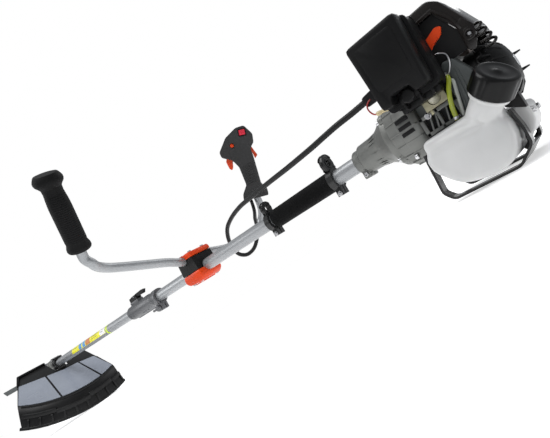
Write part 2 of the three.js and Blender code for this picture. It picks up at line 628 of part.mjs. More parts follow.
// ---- tank and stand -----------------------------------------------------------------------
function fuelTank() {
  const profile = [
    [144, -44], [142, -70], [168, -102], [208, -110], [236, -104], [248, -78], [246, -46],
  ];
  const shoulder = [[149, -60], [148, -30], [228, -28], [246, -38], [246, -60]];
  const lobe = [[215, -49], [266, -49], [266, -76], [255, -91], [215, -95]];
  const neckEnd = CAP_BASE.clone().addScaledVector(CAP_AXIS, 16);
  const neckRoot = CAP_BASE.clone().addScaledVector(CAP_AXIS, -34);
  const outer = join(sidePlate(profile, 12, -92, 82, 8), sidePlate(shoulder, 8, -89, -42, 5),
    sidePlate(lobe, 8, -33, 33, 3), rod(20, neckRoot, neckEnd, 20));
  const hollow = join(
    sidePlate(profile.map(([x, z]) => [195 + (x - 195) * 0.94, -77 + (z + 77) * 0.92]), 11, -89, 79, 7),
    rod(16.5, neckRoot, neckEnd.clone().addScaledVector(CAP_AXIS, 5), 16));
  const tank = outer.subtract(toSolid(rodX(56, 100, 151))).subtract(cut(hollow, rodX(59, 100, 154)));
  add('fuel_tank', tank, paint(0xd9d9d6, 0.35, 0));

  const cap = turned([[-4, 20.6], [-4, CAP_R], [20, CAP_R], [23, CAP_R - 4], [23, 0], [19, 0], [19, 20.6]],
    CAP_BASE, CAP_AXIS, 16);
  add('fuel_cap', cap, paint(0x191a1c, 0.4, 0));
}

// Two hoops of flat strip, joined by a tie below the fan housing and by the sloping back plate.
function stand() {
  const [front, back] = STAND_X;
  const half = 1.75;
  const sole = FOOT_Z + half;
  const slope = [[back - 24, sole], [back - 1, -98]];
  const hoop = stripOutline([
    [front + 6, -45], [front + 1, sole + 13], [front + 12, sole], ...slope, [back, -76], [back - 3, -49],
  ], half, 5);
  const across = (outline, y0, y1) => new THREE.ExtrudeGeometry(outline, {
    depth: y1 - y0, bevelEnabled: false, curveSegments: 2,
  }).rotateX(Math.PI / 2).translate(0, y1, 0);
  const tie = box(front + 3, front + 13, -54, 54, -60, -56.5);
  const backPlate = stripOutline([[back - 22, sole + 1.5], [back - 3, -99.6]], half, 5);
  const frame = join(across(hoop, -54, -36), across(hoop, 36, 54), tie, across(backPlate, -45, 45));
  add('stand', frame, blackSteel());
}

// Side outline of a bent strip: its centre line offset by half the strip's thickness each way.
function stripOutline(corners, half, radius) {
  const line = [];
  corners.forEach(([x, z], i) => {
    const here = new THREE.Vector2(x, z);
    if (i === 0 || i === corners.length - 1) {
      line.push(here);
      return;
    }
    const before = new THREE.Vector2(...corners[i - 1]).sub(here).normalize();
    const after = new THREE.Vector2(...corners[i + 1]).sub(here).normalize();
    const bend = new THREE.QuadraticBezierCurve(here.clone().addScaledVector(before, radius), here,
      here.clone().addScaledVector(after, radius));
    line.push(...bend.getPoints(3));
  });
  const sides = line.map((p, i) => {
    const next = line[Math.min(i + 1, line.length - 1)];
    const last = line[Math.max(i - 1, 0)];
    const along = next.clone().sub(last).normalize();
    return new THREE.Vector2(-along.y, along.x).multiplyScalar(half);
  });
  const upper = line.map((p, i) => p.clone().add(sides[i]));
  const lower = line.map((p, i) => p.clone().sub(sides[i])).reverse();
  return new THREE.Shape([...upper, ...lower]);
}

// ---- assembly -----------------------------------------------------------------------------
mainTubes();
driveShafts();
coupler();
handlebar();
handlebarClamp();
leftGrip();
throttleGrip();
throttleConduit();
foamSleeve();
hanger('hanger_front', -208, 27, 14);
hanger('hanger_rear', -38, 30, 17);
gearCase();
bevelGears();
bladeStack();
guard();
guardBracket();
clutch();
fanHousing();
crankcase();
cylinder();
engineShroud();
exhaust();
carburettor();
airFilter();
recoilStarter();
fuelTank();
stand();

machine.rotation.y = PITCH;
machine.updateMatrixWorld(true);
const reach = new THREE.Box3().setFromObject(machine, true);
const middle = reach.getCenter(new THREE.Vector3());
machine.position.set(-middle.x, -middle.y, -reach.min.z);

const brushCutter = new THREE.Group();
brushCutter.name = 'brush_cutter';
brushCutter.add(machine);
export default brushCutter;
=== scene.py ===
import json
import math

import bmesh
import bpy
from mathutils import Matrix, Vector


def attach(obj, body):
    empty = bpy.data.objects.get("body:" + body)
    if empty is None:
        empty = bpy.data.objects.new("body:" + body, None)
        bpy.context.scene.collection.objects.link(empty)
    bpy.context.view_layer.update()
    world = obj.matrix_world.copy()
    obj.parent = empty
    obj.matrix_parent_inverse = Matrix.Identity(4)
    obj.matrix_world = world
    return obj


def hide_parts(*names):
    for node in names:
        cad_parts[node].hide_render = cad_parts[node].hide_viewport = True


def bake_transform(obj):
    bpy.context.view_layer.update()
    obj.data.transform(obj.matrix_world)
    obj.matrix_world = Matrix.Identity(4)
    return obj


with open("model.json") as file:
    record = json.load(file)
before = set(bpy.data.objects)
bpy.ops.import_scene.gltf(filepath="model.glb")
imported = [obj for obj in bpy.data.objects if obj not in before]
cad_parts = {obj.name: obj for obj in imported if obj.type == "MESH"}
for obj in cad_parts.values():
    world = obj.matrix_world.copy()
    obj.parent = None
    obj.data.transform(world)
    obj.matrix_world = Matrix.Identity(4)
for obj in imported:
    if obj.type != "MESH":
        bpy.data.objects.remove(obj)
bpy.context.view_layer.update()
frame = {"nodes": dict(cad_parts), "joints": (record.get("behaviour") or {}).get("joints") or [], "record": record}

# ---- the machine's own frame ---------------------------------------------------------------
# Shapes are given in millimetres in that frame: X along the crankshaft away from the cutting
# head, negative Y the operator's left, origin where the tube enters the clutch housing.
MM = 0.001
CRANK_MIDDLE = 190
TUBE_R = 14
X, Y, Z = Vector((1, 0, 0)), Vector((0, 1, 0)), Vector((0, 0, 1))


def machine_frame():
    spin = next(joint for joint in frame["joints"] if joint["name"] == "crank_spin")
    along = Vector(spin["axis"]).normalized()
    matrix = Matrix((along, Y, along.cross(Y))).transposed().to_4x4()
    matrix.translation = Vector(spin["pos_m"]) - CRANK_MIDDLE * MM * along
    return matrix @ Matrix.Scale(MM, 4)


MACHINE = machine_frame()
HEAD_TILT = math.radians(32)
GUARD_X = -1547.7
GUARD = MACHINE @ Matrix.Translation((GUARD_X, 0, 0)) @ Matrix.Rotation(HEAD_TILT, 4, "Y")
HEAD = Vector((-1590, 0, 0))
DOWN = Vector((-math.sin(HEAD_TILT), 0, -math.cos(HEAD_TILT)))
LEFT_GRIP = (Vector((-440, -253, 150)), Vector((-369, -279, 278)))
RIGHT_GRIP = (Vector((-430, 268, 131)), Vector((-373, 268, 265)))


def grip_frame(low, high, turn=0.0):
    up = (high - low).normalized()
    back = (X - up * X.dot(up)).normalized()
    back = Matrix.Rotation(turn, 3, up) @ back
    matrix = Matrix((back, up.cross(back), up)).transposed().to_4x4()
    matrix.translation = low
    return MACHINE @ matrix


LEFT = grip_frame(*LEFT_GRIP)
RIGHT = grip_frame(*RIGHT_GRIP, math.radians(38))


def at(x, y, z):
    return MACHINE @ Vector((x, y, z))


def add_object(name, data):
    obj = bpy.data.objects.new(name, data)
    bpy.context.scene.collection.objects.link(obj)
    return obj


# ---- camera --------------------------------------------------------------------------------
LENS_MM = 28.8
SENSOR_MM = 36
CAMERA_PLACE = (355, -660, -50)
PICTURE_RIGHT = Vector((0.638, 0.577, -0.510))
PICTURE_BACK = Vector((0.644, -0.763, -0.059))


def camera():
    """Set in the machine's frame, since the photograph shows the machine tipped."""
    data = bpy.data.cameras.new("camera")
    data.lens = LENS_MM
    data.sensor_width = SENSOR_MM
    data.clip_start = 0.01
    obj = add_object("camera", data)
    right = PICTURE_RIGHT.normalized()
    back = (PICTURE_BACK - right * PICTURE_BACK.dot(right)).normalized()
    turn = Matrix((right, back.cross(right), back)).transposed()
    spin = (MACHINE.to_3x3() * (1 / MM)) @ turn
    matrix = spin.to_4x4()
    matrix.translation = at(*CAMERA_PLACE)
    obj.matrix_world = matrix
    bpy.context.scene.camera = obj


camera()


# ---- materials -----------------------------------------------------------------------------
class Graph:
    """A short way to lay out a material's nodes."""

    def __init__(self, name):
        self.material = bpy.data.materials.new(name)
        self.material.use_nodes = True
        self.tree = self.material.node_tree
        self.shader = self.tree.nodes["Principled BSDF"]
        self.place = self.add("ShaderNodeTexCoord").outputs["Object"]

    def add(self, kind, **inputs):
        node = self.tree.nodes.new(kind)
        for key, value in inputs.items():
            self.put(node.inputs[key.replace("_", " ")], value)
        return node

    def put(self, socket, value):
        if isinstance(value, bpy.types.NodeSocket):
            self.tree.links.new(value, socket)
        else:
            socket.default_value = value

    def noise(self, scale, detail=3.0, stretch=(1, 1, 1)):
        mapping = self.add("ShaderNodeMapping", Vector=self.place, Scale=stretch)
        node = self.add("ShaderNodeTexNoise", Vector=mapping.outputs[0], Scale=scale, Detail=detail)
        return node.outputs["Fac"]

    def ramp(self, fac, low, high, a, b):
        node = self.add("ShaderNodeValToRGB", Fac=fac)
        ends = node.color_ramp.elements
        ends[0].position, ends[1].position = low, high
        ends[0].color, ends[1].color = (*a, 1), (*b, 1)
        return node.outputs["Color"]

    def spread(self, fac, low, high):
        node = self.add("ShaderNodeMapRange", Value=fac)
        node.inputs["To Min"].default_value = low
        node.inputs["To Max"].default_value = high
        return node.outputs[0]

    def mix(self, fac, a, b):
        node = self.tree.nodes.new("ShaderNodeMix")
        node.data_type = "RGBA"
        self.put(node.inputs[0], fac)
        self.put(node.inputs[6], a)
        self.put(node.inputs[7], b)
        return node.outputs[2]

    def bump(self, height, strength, distance, below=None):
        node = self.add("ShaderNodeBump", Height=height, Strength=strength, Distance=distance)
        if below is not None:
            self.put(node.inputs["Normal"], below)
        return node.outputs[0]


def surface(name, slot, colour, shade, roughness, metallic=0.0, mottle=9.0, grain=900.0, bump=0.25,
            depth=0.0002, stretch=(1, 1, 1), worn=None, dust=0.0, **sockets):
    """Colour drifts between two tones; grain roughens it; worn shows another colour on edges."""
    g = Graph(name)
    patches = g.noise(mottle, 4.0)
    colour_out = g.ramp(patches, 0.35, 0.68, colour, shade)
    if dust:
        film = g.ramp(g.noise(34.0, 5.0), 0.5, 0.8, (0, 0, 0), (dust, dust, dust))
        colour_out = g.mix(film, colour_out, (0.32, 0.30, 0.27, 1))
    if worn:
        edge = g.add("ShaderNodeNewGeometry").outputs["Pointiness"]
        rub = g.ramp(edge, 0.56, 0.74, (0, 0, 0), (0.5, 0.5, 0.5))
        colour_out = g.mix(rub, colour_out, (*worn, 1))
    g.put(g.shader.inputs["Base Color"], colour_out)
    fine = g.noise(grain, 2.0, stretch)
    rough = g.spread(g.noise(mottle * 3, 4.0), max(roughness - 0.07, 0.02), roughness + 0.09)
    g.put(g.shader.inputs["Roughness"], rough)
    g.put(g.shader.inputs["Normal"], g.bump(fine, bump, depth))
    g.shader.inputs["Metallic"].default_value = metallic
    for key, value in sockets.items():
        g.shader.inputs[key.replace("_", " ")].default_value = value
    g.material["slot"] = slot
    return g.material


def dark(name, slot, grey, roughness, gloss=0.16, **more):
    """A black plastic, rubber or paint: nearly neutral, with its sheen set by gloss."""
    return surface(name, slot, (grey, grey, grey * 1.04), (grey * 1.6, grey * 1.6, grey * 1.65), roughness,
                   Specular_IOR_Level=gloss, **more)


TUBE = surface("satin_tube", "satin_tube", (0.315, 0.325, 0.335), (0.28, 0.288, 0.297), 0.36, 0.5, grain=420,
               bump=0.008, stretch=(0.15, 1, 1))
CAST = surface("cast_aluminium", "cast_aluminium", (0.165, 0.168, 0.158), (0.115, 0.118, 0.112), 0.42, 0.5,
               grain=1100, bump=0.4, depth=0.0003, worn=(0.36, 0.36, 0.34))
COUPLER = surface("coupler_grey", "cast_aluminium", (0.115, 0.117, 0.123), (0.09, 0.092, 0.097), 0.4, 0.5,
                  grain=1100, bump=0.2, worn=(0.28, 0.28, 0.29))
CASE = surface("crankcase_grey", "crankcase_grey", (0.080, 0.088, 0.086), (0.06, 0.067, 0.066), 0.42, 0.3,
               grain=900, bump=0.4, worn=(0.16, 0.17, 0.17))
STEEL = surface("steel", "steel", (0.60, 0.60, 0.61), (0.44, 0.44, 0.45), 0.26, 1.0, grain=1500, bump=0.1)
BLADE = surface("blade_steel", "blade_steel", (0.50, 0.50, 0.51), (0.36, 0.36, 0.37), 0.3, 1.0, grain=1400,
                bump=0.15, stretch=(0.1, 1, 1))
PLASTIC = dark("black_plastic", "black_plastic", 0.004, 0.42, grain=1400, bump=0.35,
               worn=(0.035, 0.035, 0.036))
FILTER = dark("filter_plastic", "black_plastic", 0.0035, 0.36, 0.12, grain=2200, bump=0.5,
              worn=(0.03, 0.03, 0.031))
GUARD_BLACK = dark("guard_plastic", "black_plastic", 0.004, 0.34, 0.22, grain=500, bump=0.3, mottle=14,
                    worn=(0.05, 0.05, 0.05))
GLOSS = surface("gloss_black", "gloss_black", (0.004, 0.0032, 0.003), (0.010, 0.008, 0.007), 0.2, grain=300,
                bump=0.1, Specular_IOR_Level=0.28)
RUBBER = dark("black_rubber", "black_rubber", 0.004, 0.62, 0.12, grain=1700, bump=0.6, depth=0.0004)
CONDUIT = dark("conduit_rubber", "black_rubber", 0.006, 0.42, 0.2, grain=900, bump=0.3)
GRIP_PLASTIC = dark("grip_plastic", "black_plastic", 0.011, 0.4, 0.35, grain=1400, bump=0.25)
CAP_PLASTIC = dark("cap_plastic", "gloss_black", 0.002, 0.3, 0.2, grain=900, bump=0.15)
FOAM = dark("foam", "foam", 0.0025, 0.78, 0.05, grain=2600, bump=0.9, depth=0.0006, Sheen_Weight=0.04)
PAINTED = dark("black_steel", "black_steel", 0.004, 0.24, 0.3, grain=700, bump=0.15, worn=(0.12, 0.12, 0.12),
                Coat_Weight=0.05)
ORANGE = surface("orange_plastic", "orange_plastic", (0.60, 0.046, 0.005), (0.52, 0.036, 0.004), 0.34,
                 grain=1400, bump=0.2, worn=(0.85, 0.13, 0.03), Specular_IOR_Level=0.22)
RED = surface("red_plastic", "red_plastic", (0.62, 0.02, 0.045), (0.52, 0.012, 0.035), 0.3, grain=1200,
              bump=0.15, Specular_IOR_Level=0.25)
PANEL = surface("guard_panel", "guard_grey", (0.27, 0.295, 0.345), (0.22, 0.24, 0.285), 0.24, 0.1, grain=420,
                bump=0.12, mottle=6, Coat_Weight=0.5, Coat_Roughness=0.12)
PULLEY = surface("pulley_grey", "guard_grey", (0.25, 0.26, 0.28), (0.2, 0.21, 0.23), 0.4, bump=0.2)
MUFFLER = surface("muffler_steel", "muffler_steel", (0.20, 0.17, 0.15), (0.10, 0.085, 0.08), 0.5, 0.8,
                  mottle=30, grain=700, bump=0.4)
BULB = surface("bulb_plastic", "bulb_plastic", (0.62, 0.60, 0.50), (0.55, 0.53, 0.42), 0.18, grain=300,
               bump=0.05, Transmission_Weight=0.35)
CERAMIC = surface("ceramic", "ceramic", (0.75, 0.73, 0.68), (0.66, 0.64, 0.58), 0.2, grain=300, bump=0.05)
BRASS = surface("carburettor_alloy", "cast_aluminium", (0.45, 0.42, 0.29), (0.30, 0.28, 0.19), 0.34, 0.85,
                grain=800, bump=0.3, mottle=60)
HOSE = surface("fuel_hose", "bulb_plastic", (0.50, 0.56, 0.05), (0.36, 0.42, 0.03), 0.2, grain=600, bump=0.1,
               Transmission_Weight=0.2)
CLEAR = surface("clear_hose", "bulb_plastic", (0.75, 0.77, 0.74), (0.62, 0.64, 0.60), 0.14, grain=600,
                bump=0.1, Transmission_Weight=0.45)
WIRE = surface("wire_red", "red_plastic", (0.30, 0.02, 0.02), (0.22, 0.015, 0.015), 0.4, grain=600, bump=0.2)
TAN = surface("connector_tan", "bulb_plastic", (0.50, 0.42, 0.24), (0.42, 0.34, 0.18), 0.35, grain=600,
              bump=0.2)


def label_ink(tone, colour, shade, **more):
    return surface("label_" + tone, "satin_tube", colour, shade, 0.3, grain=300, bump=0.05, **more)


YELLOW = label_ink("yellow", (0.82, 0.78, 0.02), (0.72, 0.68, 0.02), mottle=40, Coat_Weight=0.4)
LIME = label_ink("lime", (0.62, 0.80, 0.02), (0.54, 0.72, 0.02))
WHITE = label_ink("white", (0.80, 0.80, 0.80), (0.72, 0.72, 0.72))
BLUE = label_ink("blue", (0.10, 0.30, 0.62), (0.08, 0.24, 0.52))
BROWN = label_ink("brown", (0.55, 0.20, 0.06), (0.45, 0.15, 0.05))
SILVER = surface("sticker_silver", "gloss_black", (0.62, 0.63, 0.64), (0.5, 0.51, 0.52), 0.3, 0.5, grain=300,
                 bump=0.05)


def tank_plastic():
    """Milky blown plastic: light passes into it, and the walls vary a little in thickness."""
    g = Graph("tank_plastic")
    drift = g.noise(16.0, 3.0)
    g.put(g.shader.inputs["Base Color"], g.ramp(drift, 0.3, 0.75, (0.53, 0.53, 0.527), (0.44, 0.443, 0.442)))
    g.put(g.shader.inputs["Roughness"], g.spread(g.noise(45.0, 4.0), 0.24, 0.40))
    swirl = g.bump(g.noise(22.0, 2.0), 0.25, 0.0012)
    g.put(g.shader.inputs["Normal"], g.bump(g.noise(900.0, 2.0), 0.12, 0.0002, swirl))
    g.shader.inputs["Subsurface Weight"].default_value = 0.35
    g.shader.inputs["Subsurface Radius"].default_value = (0.012, 0.012, 0.011)
    g.shader.inputs["Subsurface Scale"].default_value = 1.0
    g.material["slot"] = "tank_plastic"
    return g.material


TANK = tank_plastic()


# ---- shapes: each gives (points, faces) in millimetres --------------------------------------
def prism(outline, low, high, plane="xz"):
    """An outline pushed through from low to high, square to its plane."""
    place = {
        "xz": lambda a, b, t: (a, t, b),
        "xy": lambda a, b, t: (a, b, t),
    }[plane]
    count = len(outline)
    points = [place(a, b, low) for a, b in outline] + [place(a, b, high) for a, b in outline]
    faces = [tuple(range(count)), tuple(range(2 * count - 1, count - 1, -1))]
    faces += [(i, (i + 1) % count, count + (i + 1) % count, count + i) for i in range(count)]
    return [Vector(p) for p in points], faces


def block(x0, x1, y0, y1, z0, z1):
    return prism([(x0, z0), (x1, z0), (x1, z1), (x0, z1)], y0, y1)


def rounded(outline, radius, steps=4):
    """The outline with its corners rounded."""
    result = []
    count = len(outline)
    for i, corner in enumerate(outline):
        here = Vector(corner)
        before = Vector(outline[i - 1]) - here
        after = Vector(outline[(i + 1) % count]) - here
        reach = min(radius, before.length * 0.48, after.length * 0.48)
        start = here + before.normalized() * reach
        end = here + after.normalized() * reach
        for k in range(steps + 1):
            t = k / steps
            result.append(tuple(start * (1 - t) ** 2 + here * 2 * t * (1 - t) + end * t ** 2))
    return result


def across(axis):
    """Two directions square to an axis."""
    other = Z if abs(axis.z) < 0.9 else X
    first = axis.cross(other).normalized()
    return first, axis.cross(first)


def lathe(profile, origin=(0, 0, 0), axis=X, sides=48, closed=False, ripple=None, span=None):
    """Turned shape; profile is (distance along the axis, radius), and closed joins its ends."""
    axis = Vector(axis).normalized()
    origin = Vector(origin)
    first, second = across(axis)
    points, rings = [], []
    full = span is None
    start, end = span or (0.0, 360.0)
    count = sides if full else sides + 1
    for along, radius in profile:
        if radius <= 1e-6:
            rings.append([len(points)] * count)
            points.append(origin + axis * along)
            continue
        ring = []
        for i in range(count):
            angle = math.radians(start + (end - start) * i / sides)
            r = radius * (ripple(math.degrees(angle), along) if ripple else 1.0)
            ring.append(len(points))
            points.append(origin + axis * along + (first * math.cos(angle) + second * math.sin(angle)) * r)
        rings.append(ring)
    faces = []
    pairs = list(zip(rings, rings[1:])) + ([(rings[-1], rings[0])] if closed else [])
    for a, b in pairs:
        for i in range(sides):
            j = (i + 1) % count
            corners = []
            for corner in (a[i], a[j], b[j], b[i]):
                if corner not in corners:
                    corners.append(corner)
            if len(corners) > 2:
                faces.append(tuple(corners))
    if not full and closed:
        faces.append(tuple(ring[0] for ring in rings))
        faces.append(tuple(ring[-1] for ring in reversed(rings)))
    return points, faces


def ring(outer, inner, x0, x1, edge=0.6, **more):
    """A collar about the shaft with eased edges."""
    return lathe([(x0, inner), (x0, outer - edge), (x0 + edge, outer), (x1 - edge, outer), (x1, outer - edge),
                  (x1, inner)], closed=True, **more)


def smooth_path(points, step):
    """Centripetal Catmull-Rom curve through the points, sampled about every step millimetres."""
    points = [Vector(p) for p in points]
    padded = [points[0] * 2 - points[1], *points, points[-1] * 2 - points[-2]]
    path = []
    for p0, p1, p2, p3 in zip(padded, padded[1:], padded[2:], padded[3:]):
        t1 = (p1 - p0).length ** 0.5
        t2 = t1 + (p2 - p1).length ** 0.5
        t3 = t2 + (p3 - p2).length ** 0.5
        pieces = max(1, round((p2 - p1).length / step))
        for i in range(pieces):
            t = t1 + (t2 - t1) * i / pieces
            a1 = p0 * ((t1 - t) / t1) + p1 * (t / t1)
            a2 = p1 * ((t2 - t) / (t2 - t1)) + p2 * ((t - t1) / (t2 - t1))
            a3 = p2 * ((t3 - t) / (t3 - t2)) + p3 * ((t - t2) / (t3 - t2))
            b1 = a1 * ((t2 - t) / t2) + a2 * (t / t2)
            b2 = a2 * ((t3 - t) / (t3 - t1)) + a3 * ((t - t1) / (t3 - t1))
            path.append(b1 * ((t2 - t) / (t2 - t1)) + b2 * ((t - t1) / (t2 - t1)))
    return [*path, points[-1]]


def sweep(path, radius, sides=16):
    """Round bar along a path; radius is a number or a function of the ring's index."""
    points, faces = [], []
    side = across((path[1] - path[0]).normalized())[0]
    for i, here in enumerate(path):
        along = (path[min(i + 1, len(path) - 1)] - path[max(i - 1, 0)]).normalized()
        side = (side - along * side.dot(along)).normalized()
        other = along.cross(side)
        r = radius(i) if callable(radius) else radius
        for k in range(sides):
            angle = 2 * math.pi * k / sides
            points.append(here + side * math.cos(angle) * r + other * math.sin(angle) * r)
    for i in range(len(path) - 1):
        for k in range(sides):
            a, b = i * sides + k, i * sides + (k + 1) % sides
            faces.append((a, b, b + sides, a + sides))
    last = (len(path) - 1) * sides
    faces.append(tuple(range(sides - 1, -1, -1)))
    faces.append(tuple(last + k for k in range(sides)))
    return points, faces


def swung(profile, start, end, steps):
    """Closed profile of (radius, height) swung about Z between two angles in degrees."""
    points, faces = [], []
    count = len(profile)
    for i in range(steps + 1):
        angle = math.radians(start + (end - start) * i / steps)
        points += [Vector((r * math.cos(angle), r * math.sin(angle), h)) for r, h in profile]
    for i in range(steps):
        for j in range(count):
            a, b = i * count + j, i * count + (j + 1) % count
            faces.append((a, b, b + count, a + count))
    faces.append(tuple(range(count - 1, -1, -1)))
    faces.append(tuple(steps * count + j for j in range(count)))
    return points, faces


def cap_screw(place, axis, radius=3.4, height=3.6):
    """Round screw head with a socket in it."""
    profile = [(-1, 0), (-1, radius), (height - 0.6, radius), (height, radius - 0.6), (height, radius * 0.55),
               (height * 0.35, radius * 0.5), (height * 0.35, 0)]
    return lathe(profile, place, axis, 18)


def hex_bolt(place, axis, radius=4.2, height=4.0):
    """Flanged hexagon head."""
    flange = lathe([(-1, 0), (-1, radius * 1.25), (0.9, radius * 1.25), (1.3, radius)], place, axis, 24)
    head = lathe([(0.8, 0), (0.8, radius), (height - 0.5, radius), (height, radius * 0.86), (height, 0)],
                 place, axis, 6)
    return [flange, head]


# ---- pieces --------------------------------------------------------------------------------
BODY_OF = {node: body for body, nodes in frame["record"]["behaviour"]["bodies"].items() for node in nodes}
MAIN = "engine_and_upper_shaft"
LOWER = "lower_shaft_unit"
SHARP = 33
WELD = 2e-6


def gather(shapes):
    points, faces = [], []
    for shape_points, shape_faces in shapes:
        base = len(points)
        points += shape_points
        faces += [tuple(base + i for i in face) for face in shape_faces]
    return points, faces


def ease_edges(bm, width, segments):
    """Rounds every edge sharper than SHARP degrees; width is in the mesh's own unit."""
    limit = math.radians(SHARP)
    edges = [e for e in bm.edges if len(e.link_faces) == 2 and e.calc_face_angle() > limit]
    bmesh.ops.bevel(bm, geom=edges, offset=width, segments=segments, profile=0.5, affect="EDGES",
                    clamp_overlap=True)


def object_from(name, bm, material, body, smooth):
    mesh = bpy.data.meshes.new(name)
    bm.to_mesh(mesh)
    bm.free()
    mesh.polygons.foreach_set("use_smooth", [True] * len(mesh.polygons))
    mesh.set_sharp_from_angle(angle=math.radians(smooth))
    mesh.materials.append(material)
    obj = add_object(name, mesh)
    if body:
        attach(obj, body)
    return obj


def make(name, shapes, material, body=MAIN, space=MACHINE, bevel=0.0, segments=2, smooth=38, stands_for=()):
    """One piece from one or more shapes, with its sharp edges eased by bevel millimetres."""
    bm = bmesh.new()
    points, faces = gather(shapes)
    made = [bm.verts.new(p) for p in points]
    for face in faces:
        bm.faces.new([made[i] for i in face])
    bmesh.ops.recalc_face_normals(bm, faces=bm.faces)
    if bevel:
        ease_edges(bm, bevel, segments)
    bm.transform(space)
    obj = object_from(name, bm, material, body, smooth)
    if stands_for:
        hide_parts(*stands_for)
    return obj


def bare_mesh(node):
    """A CAD node's mesh with its corners joined up and its flat faces made whole."""
    bm = bmesh.new()
    bm.from_mesh(frame["nodes"][node].data)
    bmesh.ops.remove_doubles(bm, verts=bm.verts, dist=WELD)
    bmesh.ops.dissolve_limit(bm, angle_limit=math.radians(1), verts=bm.verts, edges=bm.edges)
    clean = bmesh.new()
    made = {v: clean.verts.new(v.co) for v in bm.verts}
    for face in bm.faces:
        clean.faces.new([made[v] for v in face.verts])
    bm.free()
    return clean


def skin(node, material, bevel=0.6, segments=2, smooth=34):
    """A finished copy of a CAD node with its edges eased."""
    bm = bare_mesh(node)
    if bevel:
        ease_edges(bm, bevel * MM, segments)
    obj = object_from(node + "_skin", bm, material, BODY_OF[node], smooth)
    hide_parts(node)
    return obj


def soft_skin(node, material, voxel, passes):
    """A finished copy of a CAD node, remade in small cells and smoothed like a moulding."""
    rough = object_from(node + "_rough", bare_mesh(node), material, None, 30)
    remesh = rough.modifiers.new("remesh", "REMESH")
    remesh.mode = "VOXEL"
    remesh.voxel_size = voxel * MM
    remesh.use_smooth_shade = True
    smoothing = rough.modifiers.new("smooth", "SMOOTH")
    smoothing.factor = 0.5
    smoothing.iterations = passes
    bpy.context.view_layer.update()
    mesh = bpy.data.meshes.new_from_object(rough.evaluated_get(bpy.context.evaluated_depsgraph_get()))
    bpy.data.objects.remove(rough)
    obj = add_object(node + "_skin", mesh)
    mesh.materials.clear()
    mesh.materials.append(material)
    mesh.polygons.foreach_set("use_smooth", [True] * len(mesh.polygons))
    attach(obj, BODY_OF[node])
    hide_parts(node)
    return obj


# ---- throttle conduit: the one free cable ---------------------------------------------------
CONDUIT_R = 4.75
CONDUIT_ROUTE = [
    (109, -60, 64), (80, -63, 62), (51, -66, 61), (25, -68, 59), (-3, -68, 57), (-35, -66, 56),
    (-72, -60, 56), (-113, -52, 57), (-155, -42, 58), (-205, -28, 59), (-255, -12, 60), (-315, 8, 54),
    (-360, 26, 42), (-390, 42, 20), (-404, 55, -2), (-408, 67, -18), (-401, 81, -27), (-386, 95, -23),
    (-374, 112, -4), (-377, 134, 20), (-396, 164, 42), (-422, 204, 62), (-446, 238, 82), (-455, 253, 100),
]


def throttle_conduit():
    path = smooth_path(CONDUIT_ROUTE, 1.3)
    wave = (0.0, -0.1, -0.2, -0.1)
    obj = make("conduit_sheath", [sweep(path, lambda i: CONDUIT_R + wave[i % 4], 14)], CONDUIT,
               stands_for=["throttle_conduit"], smooth=60)


throttle_conduit()


# ---- shaft ---------------------------------------------------------------------------------
TUBE_BORE_R = 12
SNUG_R = TUBE_R + 0.3  # the bore of what is clamped round the tube


def tube_shape(x0, x1):
    return ring(TUBE_R, TUBE_BORE_R, x0, x1, edge=0.4, sides=56)


def band(x0, x1, inner, outer, **more):
    """A thin square-edged band about the shaft."""
    return lathe([(x0, inner), (x0, outer), (x1, outer), (x1, inner)], closed=True, **more)


def shafts():
    make("upper_tube_skin", [tube_shape(-776, 33)], TUBE, stands_for=["upper_tube"])
    make("lower_tube_skin", [tube_shape(-1562, -777)], TUBE, LOWER, stands_for=["lower_tube"])
    foam = [(-198, SNUG_R), (-198, 17), (-196.5, 18.5), (-46.4, 18.5), (-44.9, 17), (-44.9, SNUG_R)]
    make("foam_sleeve_skin", [lathe(foam, closed=True, sides=56)], FOAM, stands_for=["foam_sleeve"])


def label_bands():
    """Coloured bands round the lower tube, with plain marks and no lettering."""
    make("label_ring", [band(-1022, -1013, 14.05, 14.3)], LIME, LOWER)
    bands = [("white", WHITE, -1072, -1031), ("yellow_long", YELLOW, -1155, -1078),
             ("brown", BROWN, -1197, -1158),
             ("blue_first", BLUE, -1226, -1202), ("blue_second", BLUE, -1262, -1236),
             ("yellow_short", YELLOW, -1328, -1268)]
    make("label_backing", [band(-1330, -1028, 14.03, 14.12, span=(276, 378))], YELLOW, LOWER)
    for name, material, x0, x1 in bands:
        make("label_" + name, [band(x0, x1, 14.08, 14.22, span=(281, 373))], material, LOWER)
    bars = []
    for x0, x1, start, end in ((-1066, -1038, 300, 306), (-1066, -1044, 330, 336), (-1146, -1090, 296, 301),
                               (-1146, -1100, 318, 323), (-1146, -1094, 340, 345), (-1318, -1280, 320, 326)):
        bars.append(band(x0, x1, 14.18, 14.28, sides=8, span=(start, end)))
    make("label_bars", bars, PLASTIC, LOWER)


